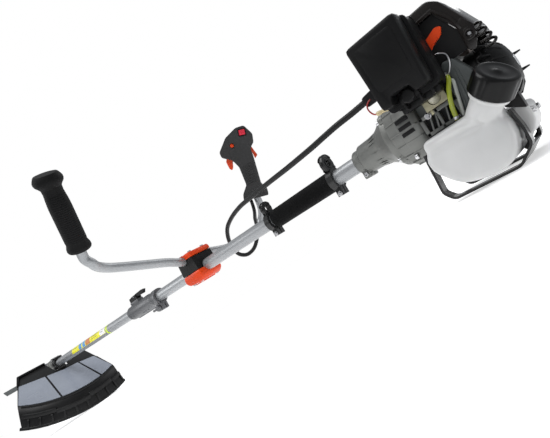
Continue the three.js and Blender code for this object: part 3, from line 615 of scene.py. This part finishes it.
def coupler():
    profile = [(-852, SNUG_R), (-852, 17.2), (-846, 19.5), (-832, 19.5), (-826, 21), (-728, 21), (-722, 19.4),
               (-704, 19.4), (-700, 21.5), (-681, 21.5), (-680, 20.6), (-680, SNUG_R)]
    lug = rounded([(-702, -37), (-680, -37), (-680, -10), (-702, -10)], 3)
    shapes = [
        lathe(profile, closed=True, sides=56),
        prism(rounded([(-822, 14), (-776, 14), (-776, 27), (-822, 27)], 2), -9, 9),
        prism(lug, -13, -0.9),
        prism(lug, 0.9, 8),
        block(-826, -728, -3, 3, -22.4, -20),
    ]
    shapes += [block(x, x + 3, -16, 16, -17, 14) for x in (-772, -758, -744)]
    make("coupler_body_skin", shapes, COUPLER, bevel=0.5, stands_for=["coupler_body"])
    skin("coupler_latch_block", PLASTIC, 0.8)
    skin("coupler_latch_lever", PLASTIC, 0.8)
    make("latch_pin", [lathe([(-9.4, 0), (-9.4, 2.2), (9.4, 2.2), (9.4, 0)], (-790, 0, 37), Y, 20)], STEEL)
    make("latch_screws", [cap_screw((-813, 0, 39.6), Z, 2.6, 2)] + hex_bolt((-691, 8, -28), Y, 4, 4), STEEL)

    def fluted(angle, along):
        return 1 + 0.045 * math.cos(math.radians(angle * 8)) if along > 0.5 else 1

    wings = rounded([(-707, -31), (-673, -31), (-671, -28), (-673, -25), (-707, -25), (-709, -28)], 2.5)
    knob = [
        lathe([(0, 0), (0, 8), (7, 8), (10, 6.5), (11, 4), (11, 0)], (-690, -13.4, -28), -Y, 48,
              ripple=fluted),
        prism(wings, -26, -21.5),
    ]
    make("coupler_knob_skin", knob, COUPLER, "clamp_knob", bevel=0.5, stands_for=["coupler_knob"])


def hanger_parts(name, x, eye_z, eye_r):
    """Painted split collar, eye plate, eyelet and pinch bolt."""
    hole = 6.0
    eye = []
    for side in (-1, 1):
        lip = [(side * 3.5, hole), (side * 4.6, hole + 0.8), (side * 4.6, hole + 2.2),
               (side * 3.5, hole + 3.4)]
        eye.append(lathe(lip, (x, 0, eye_z + 1), X, 36))
        rim = [(side * 3.4, eye_r - 3), (side * 4.8, eye_r - 2.2), (side * 4.8, eye_r + 0.6),
               (side * 2, eye_r + 1.4)]
        eye.append(lathe(rim, (x, 0, eye_z), X, 48, span=(-150, 150) if side > 0 else (30, 330)))
    make(name + "_eyelet", eye, PAINTED)
    skin(name, PAINTED, 0.9, 2)
    make(name + "_bolt", hex_bolt((x, -11, -25.5), -Y, 3.6, 3.6) + [cap_screw((x, 9, -25.5), Y, 3.8, 4)],
         STEEL)


BAR_X, BAR_Z = -482, 33
BAR_R = 10


def handlebar():
    def beyond(grip, t):
        return grip[0].lerp(grip[1], t)

    bends = [
        (27, -241, 76), (14, -227, 67), (3, -203, 58), (0, -170, 47), (0, -120, 31), (0, -70, 15),
        (0, -46, 5), (0, -33, 0), (0, -16, 0), (0, 0, 0), (0, 16, 0), (0, 33, 0), (0, 46, -2.5),
        (0, 70, -9), (0, 110, -17), (0, 160, -20), (0, 208, -17), (1, 238, -10), (7, 256, 1),
        (18, 265, 14), (29, 268, 31), (36, 268, 49),
    ]
    route = [
        beyond(LEFT_GRIP, 0.45), beyond(LEFT_GRIP, 0), beyond(LEFT_GRIP, -0.24),
        *(Vector((BAR_X + x, y, BAR_Z + z)) for x, y, z in bends),
        beyond(RIGHT_GRIP, -0.22), beyond(RIGHT_GRIP, 0), beyond(RIGHT_GRIP, 0.45),
    ]
    make("handlebar_skin", [sweep(smooth_path(route, 6), BAR_R, 32)], TUBE, stands_for=["handlebar"],
         smooth=50)


def clamp():
    skin("clamp_base", ORANGE, 1.4, 3)
    skin("clamp_middle", PLASTIC, 0.8)
    skin("clamp_cap", ORANGE, 1.2, 3)
    cap = []
    for x in (-496, -458):
        for y in (-20, 20):
            cap += [cap_screw((x, y, 45.4), Z, 4.2, 3.2)]
    make("clamp_screws", cap, STEEL)
    inset = rounded([(-500, -20), (-462, -20), (-462, 20), (-500, 20)], 6)
    make("clamp_base_rib", [prism(inset, -29.4, -27, "xy")], ORANGE, bevel=0.8)
    nuts = [hex_bolt((x, y, -26.5), -Z, 3.6, 2.6) for x in (-494, -462) for y in (-25, 25)]
    make("clamp_nuts", [shape for nut in nuts for shape in nut], STEEL)


def left_grip():
    """Rubber grip with shallow rings, a flared foot and a hand stop."""
    outline = [(-14, 10.8), (-14, 20), (-12.6, 21.6), (-9, 23), (-4, 22.6), (4, 19.8)]
    for i in range(24):
        z = 8 + 4 * i
        radius = 20.4 - 2.2 * max(0.0, (z - 74) / 30) ** 1.5
        outline += [(z, radius), (z + 0.5, radius - 0.55), (z + 1.2, radius - 0.55), (z + 1.7, radius)]
    outline += [(106, 18), (115, 18.6), (119, 21.5), (123, 25.2), (127, 26.8), (131, 26.8), (134.5, 25.4),
                (139, 23), (141.4, 21), (142, 18), (142, 0)]
    make("left_grip_skin", [lathe(outline, axis=Z, sides=64)], RUBBER, space=LEFT,
         stands_for=["left_grip"], smooth=30)


def throttle_grip():
    soft_skin("throttle_shell_inner", GRIP_PLASTIC, 1.1, 5)
    soft_skin("throttle_shell_outer", GRIP_PLASTIC, 1.1, 5)
    ridges = []
    for i in range(9):
        z = 6 + 6.2 * i
        for side in (-1, 1):
            path = [Vector((-19, side * 18.1, z)), Vector((-2, side * 18.7, z + 5)),
                    Vector((13, side * 18.1, z + 10))]
            ridges.append(sweep(path, 1.15, 8))
    make("throttle_ridges", ridges, GRIP_PLASTIC, space=RIGHT)
    make("throttle_screw", [cap_screw((-2, -17.6, -14), -Y, 4.6, 1.0)], PAINTED, space=RIGHT)
    skin("throttle_trigger", ORANGE, 1.0)
    skin("throttle_lockout", ORANGE, 0.9)
    skin("throttle_lock_button", ORANGE, 0.8)
    skin("stop_switch", RED, 1.0)
    bezel = rounded([(-10, 139), (12, 139), (12, 159), (-10, 159)], 3)
    hole = rounded([(-8.4, 140.5), (10.4, 140.5), (10.4, 157.5), (-8.4, 157.5)], 2)
    make("switch_bezel", [frame_of(bezel, hole, -19.2, -17.4)], PLASTIC, space=RIGHT, bevel=0.3)


def frame_of(outer, inner, low, high):
    """Flat frame between two outlines with the same number of corners."""
    count = len(outer)
    points = [Vector((a, t, b)) for t in (low, high) for outline in (outer, inner) for a, b in outline]
    faces = []
    for i in range(count):
        j = (i + 1) % count
        o0, o1, n0, n1 = i, j, count + i, count + j
        faces += [(o0, o1, n1, n0), (2 * count + o0, 2 * count + n0, 2 * count + n1, 2 * count + o1),
                  (o0, 2 * count + o0, 2 * count + o1, o1), (n0, n1, 2 * count + n1, 2 * count + n0)]
    return points, faces


# ---- cutting head --------------------------------------------------------------------------
def gear_case():
    skin("gear_case", CAST, 0.9)
    bolts = hex_bolt((-1556, -9, 19), -Y, 3.4, 3.2) + [cap_screw((-1556, 9, 19), Y, 3.4, 3.2)]
    bolts += [cap_screw((-1605, 0, 10), -X, 3.4, 2.4), cap_screw((-1605, 0, -10), -X, 3.4, 2.4)]
    for degrees in (35, 145, 215, 325):
        outward = (Matrix.Rotation(math.radians(degrees), 3, DOWN) @ Y) * 24
        bolts.append(cap_screw(HEAD + DOWN * 4 + outward, outward, 2.8, 2))
    make("gear_case_screws", bolts, STEEL, LOWER)
    for node, material in (("blade_adapter", STEEL), ("blade_cup", STEEL), ("blade_nut", STEEL),
                           ("cutting_blade", BLADE), ("line_cutter", CASE)):
        skin(node, material, 0.4)


def guard():
    skin("guard_body", GUARD_BLACK, 1.0)
    for node in ("guard_panel_left", "guard_panel_middle", "guard_panel_right"):
        skin(node, PANEL, 0.7)
    rim = [(-46, -131), (-42, -27), (-36, -27), (-38, -126), (12, -152), (12, -158)]
    shapes = [prism(rounded(rim, 3), -0.5, 9, "xy")]
    upper_step = [(258, -15), (264.5, -16), (270, -27), (266, -29)]
    lower_step = [(262, -20), (268, -21), (273, -32), (268, -33)]
    bands = [
        ([(236.5, -0.5), (238, 2.2), (243, 2.2), (246, -2.5), (244, -4)], -56, 25),
        (upper_step, -54, -30),
        (lower_step, -30, -6),
        (upper_step, -6, 14),
        (lower_step, 14, 24),
        ([(281, -51), (285, -52), (288.6, -58.4), (284, -58.4)], -55, 24),
    ]
    for profile, start, end in bands:
        shapes.append(swung(profile, start, end, max(4, int((end - start) / 3))))
    for start in range(-50, 24, 8):
        shapes.append(swung([(268, -29), (274, -31), (286, -53), (282, -54)], start, start + 1.4, 2))
    make("guard_relief", shapes, GUARD_BLACK, LOWER, GUARD, bevel=0.5)
    skin("guard_bracket", PAINTED, 0.8)
    apron = rounded([(35, -27.6), (66, -27.6), (68, 27.6), (35, 27.6)], 3)
    make("guard_apron", [prism(apron, -3.9, -0.5, "xy")], GUARD_BLACK, LOWER, GUARD, bevel=0.5)
    collar = [ring(20.6, SNUG_R, -1537, -1530), ring(20.6, SNUG_R, -1520, -1513),
              prism(rounded([(-1536, 12), (-1500, 12), (-1500, 22), (-1536, 26)], 3), -13, 13)]
    make("guard_clamp_cap", collar, PAINTED, LOWER, bevel=0.8)
    screws = [cap_screw((x, y, -3.9), Z, 4.2, 3.6) for x in (36, 82) for y in (-16, 16)]
    make("guard_screws", screws, STEEL, LOWER, GUARD)
    top = [cap_screw((-1525, y, 23), Z, 3.6, 3.0) for y in (-8, 8)]
    make("guard_clamp_screws", top, STEEL, LOWER)


# ---- engine --------------------------------------------------------------------------------
EAR_R = 45
EAR_ANGLES = (45, 135, 225, 315)


def about_shaft(x, radius, degrees):
    angle = math.radians(degrees)
    return (x, radius * math.cos(angle), radius * math.sin(angle))


def radial_rib(outline, half, degrees):
    """A flat rib of (x, radius) corners, turned about the shaft; half is half its thickness."""
    points, faces = prism(outline, -half, half)
    turn = Matrix.Rotation(math.radians(degrees), 4, "X")
    return [turn @ Vector((p.x, p.z, p.y)) for p in points], faces


def clutch():
    profile = [(16, SNUG_R), (16, 19), (18, 20.5), (28, 20.5), (29, 22), (31, 24.4), (62, 26), (68, 28),
               (74, 31),
               (80, 35), (85, 39), (90, 44), (92, 46), (103, 46), (103, 41), (92, 41), (85, 36), (78, 32),
               (74, SNUG_R)]
    shapes = [lathe(profile, closed=True, sides=64)]
    for degrees in EAR_ANGLES:
        ear = [(95, 0), (95, 6.4), (95.6, 7), (103, 7), (103, 0)]
        shapes.append(lathe(ear, about_shaft(0, EAR_R, degrees), X, 24))
        shapes.append(radial_rib([(34, 22), (62, 24), (94, 44), (94, 34), (40, 20)], 1.8, degrees))
    for degrees in range(0, 360, 30):
        shapes.append(radial_rib([(36, 23), (62, 25), (80, 34), (80, 30), (40, 20)], 1.1, degrees))
    lug = rounded([(18, -29), (31, -29), (31, -14), (18, -14)], 2.5)
    shapes += [prism(lug, -13, -1), prism(lug, 1, 13)]
    make("clutch_housing_skin", shapes, CAST, bevel=0.5, stands_for=["clutch_housing"])
    screws = [cap_screw(about_shaft(94.6, EAR_R, degrees), -X, 4.2, 4.4) for degrees in EAR_ANGLES]
    screws.append(cap_screw((24.5, -13, -22), -Y, 3.8, 3.8))
    screws += hex_bolt((24.5, 13, -22), Y, 3.6, 3.4)
    make("clutch_screws", screws, STEEL)


def fan_housing():
    profile = [(103.4, 41), (103.4, 51.2), (104.2, 52), (118, 52.8), (119, 53.6), (136, 54), (142, 54),
               (147, 52.4), (150, 50), (150, 9), (146, 9), (146, 46)]
    shapes = [lathe(profile, closed=True, sides=72)]
    for degrees in range(0, 360, 20):
        shapes.append(radial_rib([(104, 50), (104, 53.6), (146, 55.2), (149, 51)], 1.0, degrees))
    make("fan_housing_skin", shapes, CAST, bevel=0.4, stands_for=["fan_housing"])
    # black blocks on the housing: painted shade standing in for the slot openings
    slot_shade = [block(122, 141, -55.4, -52, z, z + 5.6) for z in (-9, 1, 11)]
    make("fan_slot_painted_shade", slot_shade, PLASTIC, bevel=0.3)
    screws = [cap_screw((120, y, z), -X, 4, 4) for y, z in ((-38, -40), (38, -40))]
    make("fan_screws", screws, STEEL)


def intake_grille():
    """Cast frame beside the crankcase, under the carburettor, with a black plate behind it as painted shade in its
    openings.
    """
    frame_shape = [block(150.6, 206, -52, -38.4, -27, -22), block(150.6, 206, -52, -38.4, -4, 1.4),
                   block(150.6, 156, -52, -38.4, -27, 1.4), block(201, 206, -52, -38.4, -27, 1.4),
                   block(175, 179, -52, -38.4, -27, 1.4)]
    for x in (160, 168, 184, 192):
        frame_shape.append(prism([(x, -24), (x + 2.4, -24), (x + 8.4, 0), (x + 6, 0)], -51.4, -40))
    make("intake_grille", frame_shape, CAST, bevel=0.5)
    # black plate behind the bars: painted shade standing in for the dark openings
    make("intake_painted_shade", [block(152, 204, -43, -38.3, -26, 0)], PLASTIC)
    screws = hex_bolt((165, -52, -1.5), -Y, 3.6, 3) + [cap_screw((198, -52, -24.5), -Y, 3, 2.6)]
    make("intake_screws", screws, STEEL)


def engine_side():
    side = rounded([(207, -26), (224, -26), (236, -10), (240, 16), (228, 42), (214, 45), (208, 30)], 4)
    make("starter_side_cover", [prism(side, -57, -38.5)], CASE, bevel=1.6, segments=3)
    ribs = [prism([(212 + 5 * i, -18), (214 + 5 * i, -18), (220 + 4 * i, 30), (218 + 4 * i, 30)], -58.2, -56)
            for i in range(3)]
    make("side_cover_ribs", ribs, CASE, bevel=0.4)
    skin("crankcase", CASE, 1.2)
    for node, material in (("cylinder", CAST), ("piston", CAST), ("spark_plug", CERAMIC),
                           ("crankshaft", STEEL), ("flywheel", CAST), ("clutch_drum", STEEL),
                           ("clutch_shoes", CAST), ("upper_drive_shaft", STEEL),
                           ("lower_drive_shaft", STEEL), ("bevel_pinion", STEEL),
                           ("output_shaft", STEEL), ("recoil_pulley", PULLEY)):
        skin(node, material, 0.35)


def shroud():
    skin("engine_shroud", GLOSS, 1.4, 3)
    ribs = [block(176 + 8 * i, 179 + 8 * i, -34, 34, 121.6, 124.4) for i in range(7)]
    make("shroud_top_ribs", ribs, GLOSS, bevel=0.6)
    lining = prism(rounded([(201, 42), (201, 103), (232, 105), (249, 64), (249, 42)], 3), -42.4, -40)
    make("shroud_recess", [lining], PLASTIC)
    bracket = rounded([(246, 40), (254, 34), (262, 46), (266, 62), (258, 78), (248, 72)], 3)
    ear = lathe([(0, 4.2), (0, 8), (4.4, 8), (4.4, 4.2)], (257, -46.5, 55), -Y, 28, closed=True)
    loops = []
    for i in range(4):
        z = 58 - 8.5 * i
        x = 269 + 1.6 * i
        path = smooth_path([(x - 10, -46.5, z - 3), (x, -49, z - 4), (x + 3.4, -46, z - 1), (x, -40, z + 3),
                            (x - 8, -38, z + 4)], 2)
        loops.append(sweep(path, 1.9, 10))
    make("shroud_bracket", [prism(bracket, -48, -46), ear], GLOSS, bevel=0.7)
    make("shroud_loops", loops, GLOSS)
    edge = [prism(rounded([(196, 108), (236, 110), (250, 86), (254, 66), (250, 66), (246, 84), (233, 105),
                           (196, 104)], 1.5), -48.4, -45)]
    make("shroud_lip", edge, GLOSS, bevel=0.6)
    make("shroud_bolt", hex_bolt((257, -47, 55), -Y, 2.6, 2), STEEL)


def exhaust():
    skin("muffler", MUFFLER, 1.2)
    bars = [block(176, 226, 91.6, 94.4, z, z + 3) for z in (50, 60, 70, 80)]
    make("muffler_guard", bars, PAINTED, bevel=0.8)
    make("muffler_screws", [cap_screw((x, 92, 87), Y, 3.6, 3) for x in (180, 222)], STEEL)


def fuel_system():
    skin("carburettor", BRASS, 0.9)
    bulb = [(0, 0), (0, 8.5), (1.4, 8.5), (2.2, 7.8), (4, 7.6), (6.5, 6.8), (8.6, 5.2), (10.4, 3), (11.4, 0)]
    make("primer_bulb_skin", [lathe(bulb, (185, -56, 14), -Y, 32)], BULB, "primer",
         stands_for=["primer_bulb"])
    nut = [(0, 0), (0, 5.2), (2, 5.2), (2, 3), (5, 3), (5, 0)]
    details = [
        lathe([(0, 0), (0, 4), (3, 4), (3.6, 3.2), (8, 3.2), (8, 0)], (199, -50, 30), X, 20),
        lathe(nut, (172, -58, 36), -Y, 20),
        lathe(nut, (196, -58, 36), -Y, 20),
        lathe([(0, 0), (0, 3), (7, 3), (7, 0)], (172, -50, 3), -Z, 16),
        block(166, 202, -60, -57, 18.5, 23.5),
    ]
    make("carburettor_fittings", details, BRASS, bevel=0.4)
    make("carburettor_screws", [cap_screw((x, -60, z), -Y, 2.6, 2.4) for x, z in ((170, 21), (198, 21))]
         + hex_bolt((192, -58, 40), -Y, 3, 3), STEEL)
    hose = smooth_path([(206, -50, 31), (211, -57, 29), (213, -62, 22), (208, -64.5, 12), (203, -65, 0),
                        (199, -64, -13), (197, -63, -24), (196, -62, -31)], 2)
    make("fuel_hose", [sweep(hose, 3.1, 18)], HOSE)
    clear = smooth_path([(204, -48, 10), (212, -56, 20), (216, -60, 18), (213, -60.4, 4), (209, -60.4, -12),
                         (206, -60, -24), (205, -60, -31)], 2)
    make("return_hose", [sweep(clear, 2.2, 16)], CLEAR)
    clips = [sweep([hose[k] for k in (a, a + 1, a + 2)], 3.9, 18) for a in (4, len(hose) - 6)]
    make("hose_clips", clips, STEEL)
    grommets = [lathe([(-3, 0), (-3, foot), (1.5, foot), (2.5, top), (2.5, 0)], place, Z, 24)
                for foot, top, place in ((5, 3.6, (196, -62, -29.5)), (4.2, 3, (205, -60, -29.5)))]
    make("tank_grommets", grommets, RUBBER)
    link = smooth_path([(212, -60, 58), (218, -60.5, 56), (225, -60.5, 50), (224.5, -60.5, 41),
                        (219, -60, 31), (210, -56, 26), (200, -54, 24)], 2)
    make("choke_link", [sweep(link, 1.1, 10)], STEEL)


def air_filter():
    skin("air_filter_base", FILTER, 1.6, 3)
    skin("air_filter_cover", FILTER, 1.8, 3)
    outline = rounded([(139, 23), (212, 22), (216, 117), (141, 119)], 9)
    grown = [(176 + (a - 176) * 1.025, 70 + (b - 70) * 1.022) for a, b in outline]
    make("filter_seam", [prism(grown, -91.4, -88.4)], FILTER, bevel=0.9)
    make("filter_back_flange", [prism(grown, -66, -63.6)], FILTER, bevel=0.9)
    raised = rounded([(150, 50), (200, 48), (203, 110), (149, 112)], 7)
    make("cover_raised_field", [prism(raised, -118.35, -117.4)], FILTER, "filter_cover", bevel=0.3)
    foot = [
        lathe([(0, 0), (0, 8.4), (2, 9), (9, 9), (10.5, 7.6), (10.5, 0)], (172, -91, 30), -Y, 32,
              ripple=lambda angle, along: 1 + 0.05 * math.cos(math.radians(angle * 10))),
        prism(rounded([(158, 24), (186, 24), (184, 39), (160, 39)], 3), -97, -91.7),
        prism(rounded([(150, 14), (206, 14), (206, 24), (150, 24)], 3), -84, -64),
        block(160, 163, -96, -84, 16, 28), block(182, 185, -96, -84, 16, 28),
        block(196, 200, -90, -84, 14, 26),
    ]
    make("filter_foot", foot, PLASTIC, bevel=0.7)
    stop_wire = smooth_path([(119, -64, 62), (112, -68, 60), (107, -70, 54), (107.5, -70.5, 46),
                             (111, -70.5, 40), (116, -70.5, 38)], 2)
    make("stop_wire", [sweep(stop_wire, 1.1, 10)], WIRE)
    plug = lathe([(0, 0), (0, 2.6), (1, 3.2), (6, 3.2), (7, 2.6), (14, 2.6), (15, 3.3), (20, 3.3),
                  (21, 2.4), (21, 0)], (114, -70.5, 38.4), Vector((1, 0.05, -0.14)), 20)
    make("stop_wire_plug", [plug], TAN)
    tail = smooth_path([(134, -69.4, 35.6), (142, -67, 33), (150, -60, 30), (156, -50, 26)], 2)
    make("stop_wire_tail", [sweep(tail, 1.1, 10)], WIRE)
    holder = [prism(rounded([(106, 54), (142, 54), (142, 74), (106, 70)], 3), -67, -62.4),
              lathe([(-2, 4.8), (-2, 7), (8, 7), (8, 4.8)], (106, -60.2, 63.8), X, 24, closed=True)]
    make("cable_holder", holder, PLASTIC, bevel=0.6)
    skin("choke_lever", ORANGE, 0.8)


def recoil_starter():
    profile = [(229, 30), (229, 41), (230, 42), (244, 42), (245, 43.2), (252, 43.2), (253, 42), (256, 42),
               (261, 39.6), (266, 36), (270, 31), (274, 24), (276, 15), (277, 9), (277, 0)]
    shapes = [lathe(profile, sides=72)]
    for degrees in range(0, 360, 30):
        rib = [(254, 40), (263, 40.5), (272, 30), (276, 16), (274, 14), (262, 30)]
        shapes.append(radial_rib(rib, 1.3, degrees + 10))
    make("recoil_housing_skin", shapes, PLASTIC, bevel=0.5, stands_for=["recoil_housing"])
    sticker = lathe([(277.0, 0), (277.0, 8.4), (277.5, 8.4), (277.5, 0)], axis=X, sides=40)
    make("recoil_sticker", [sticker], SILVER)
    plate = lathe([(261.5, 39.9), (262, 40.4), (269.8, 32.3), (269.2, 31.8)], closed=True, sides=16,
                  span=(160, 190))
    make("recoil_rim_sticker", [plate], SILVER)
    pegs = [lathe([(0, 0), (0, 3.2), (12, 2.2), (22, 1.0), (22, 0)], (260, 40, z), Vector((1, 0.3, 0)), 16)
            for z in (12, -12)]
    make("recoil_pegs", pegs, PLASTIC)
    fins = [radial_rib([(247, 41), (247, 50), (252, 51), (262, 40)], 1.2, degrees)
            for degrees in (50, 75, 100, 125, 150, -30, -55)]
    make("recoil_fins", fins, PLASTIC, bevel=0.4)
    screws = [cap_screw((256, 38 * math.cos(a), 38 * math.sin(a)), X, 3.2, 2.4) for a in (0.8, 2.4, 3.9, 5.5)]
    make("recoil_screws", screws, STEEL)
    bar = [(-19, 0), (-19, 5), (-17.4, 6.6), (-6, 8), (6, 8), (17.4, 6.6), (19, 5), (19, 0)]
    handle = [lathe(bar, (248, 62, 20), X, 32),
              lathe([(0, 0), (0, 4), (17, 4), (21, 6), (21, 0)], (248, 39, 20), Y, 24)]
    make("pull_handle_skin", handle, PLASTIC, "starter_handle", stands_for=["pull_handle"])
    rope = [Vector((248, 26 + 0.7 * i, 20)) for i in range(26)]
    cord = make("starter_rope", [sweep(rope, 1.6, 12)], FOAM, body=None)
    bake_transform(cord)


def tank():
    soft_skin("fuel_tank", TANK, 1.9, 9)
    axis = Vector((0.749, -0.317, 0.577)).normalized()
    base = Vector((252, -88, -19))

    def scallop(angle, along):
        return 1 - 0.03 * max(0.0, math.cos(math.radians(angle * 8))) ** 2 if -3.4 < along < 19 else 1

    cap = [(-4, 20.6), (-4, 25.8), (-3.4, 26.5), (13, 26.5), (18, 26.2), (20, 25.2), (21.6, 23.4), (22.2, 20),
           (21.6, 18.4), (21.4, 6), (22.6, 4), (23, 0)]
    make("fuel_cap_skin", [lathe(cap, base, axis, 96, ripple=scallop)], CAP_PLASTIC, "tank_cap",
         stands_for=["fuel_cap"])
    collar = lathe([(-10, 20.2), (-10, 23), (-9, 23.6), (-6, 23.6), (-5.4, 22.8), (-5.4, 20.2)], base,
                   axis, 64, closed=True)
    make("filler_collar", [collar], TANK)
    bracket = rounded([(247, -45), (250, -34), (267, -36), (267, -58)], 2)
    make("tank_bracket", [prism(bracket, -54, -38)], PLASTIC, bevel=0.8)
    make("tank_screws", [cap_screw((266.4, y, -64), X, 4.2, 2.6) for y in (-22, 22)], STEEL)


def stand():
    skin("stand", PAINTED, 0.6)
    pads = [prism(rounded([(243, -102.4), (252, -97), (253.4, -84), (249.4, -84), (247.6, -94),
                           (240.4, -99)], 1.5), y0, y0 + 16.8) for y0 in (-53.4, 36.6)]
    make("stand_pads", pads, RUBBER, bevel=0.8)


for build in (shafts, label_bands, coupler, handlebar, clamp, left_grip, throttle_grip, gear_case,
              guard, clutch, fan_housing, intake_grille, engine_side, shroud, exhaust, fuel_system,
              air_filter, recoil_starter, tank, stand):
    build()
hanger_parts("hanger_front", -208, 27, 14)
hanger_parts("hanger_rear", -38, 30, 17)


# ---- studio --------------------------------------------------------------------------------
FLOOR_HALF = 2.4


def floor():
    g = Graph("studio_floor")
    g.put(g.shader.inputs["Base Color"], g.ramp(g.noise(2.0, 2.0), 0.3, 0.7, (0.90, 0.90, 0.90),
                                                (0.88, 0.88, 0.88)))
    g.shader.inputs["Roughness"].default_value = 0.8
    g.shader.inputs["Specular IOR Level"].default_value = 0.0
    g.shader.inputs["Emission Color"].default_value = (1, 1, 1, 1)
    g.shader.inputs["Emission Strength"].default_value = 0.5
    mesh = bpy.data.meshes.new("studio_floor")
    half = FLOOR_HALF
    mesh.from_pydata([(-half, -half, 0), (half, -half, 0), (half, half, 0), (-half, half, 0)], [],
                     [(0, 1, 2, 3)])
    mesh.materials.append(g.material)
    add_object("studio_floor", mesh)


def area_light(name, place, aim, size, power):
    data = bpy.data.lights.new(name, "AREA")
    data.shape = "DISK"
    data.size = size
    data.energy = power
    obj = add_object(name, data)
    obj.location = place
    obj.rotation_euler = (Vector(aim) - Vector(place)).to_track_quat("-Z", "Y").to_euler()


def studio():
    world = bpy.data.worlds.new("studio")
    world.use_nodes = True
    tree = world.node_tree
    tree.nodes["Background"].inputs["Color"].default_value = (0.93, 0.96, 1.0, 1)
    tree.nodes["Background"].inputs["Strength"].default_value = 0.42
    seen = tree.nodes.new("ShaderNodeBackground")
    seen.inputs["Color"].default_value = (1, 1, 1, 1)
    seen.inputs["Strength"].default_value = 1.0
    choose = tree.nodes.new("ShaderNodeMixShader")
    tree.links.new(tree.nodes.new("ShaderNodeLightPath").outputs["Is Camera Ray"], choose.inputs[0])
    tree.links.new(tree.nodes["Background"].outputs[0], choose.inputs[1])
    tree.links.new(seen.outputs[0], choose.inputs[2])
    tree.links.new(choose.outputs[0], tree.nodes["World Output"].inputs["Surface"])
    bpy.context.scene.world = world
    bpy.context.scene.view_settings.view_transform = "Standard"
    area_light("key", (0.4, -0.9, 2.6), (0.2, 0, 0.1), 2.2, 62)
    area_light("left", (-2.4, -1.8, 1.5), (-0.4, 0, 0.1), 1.6, 22)
    area_light("back", (0.6, 2.4, 1.8), (0.2, 0, 0.1), 2.0, 22)


floor()
studio()
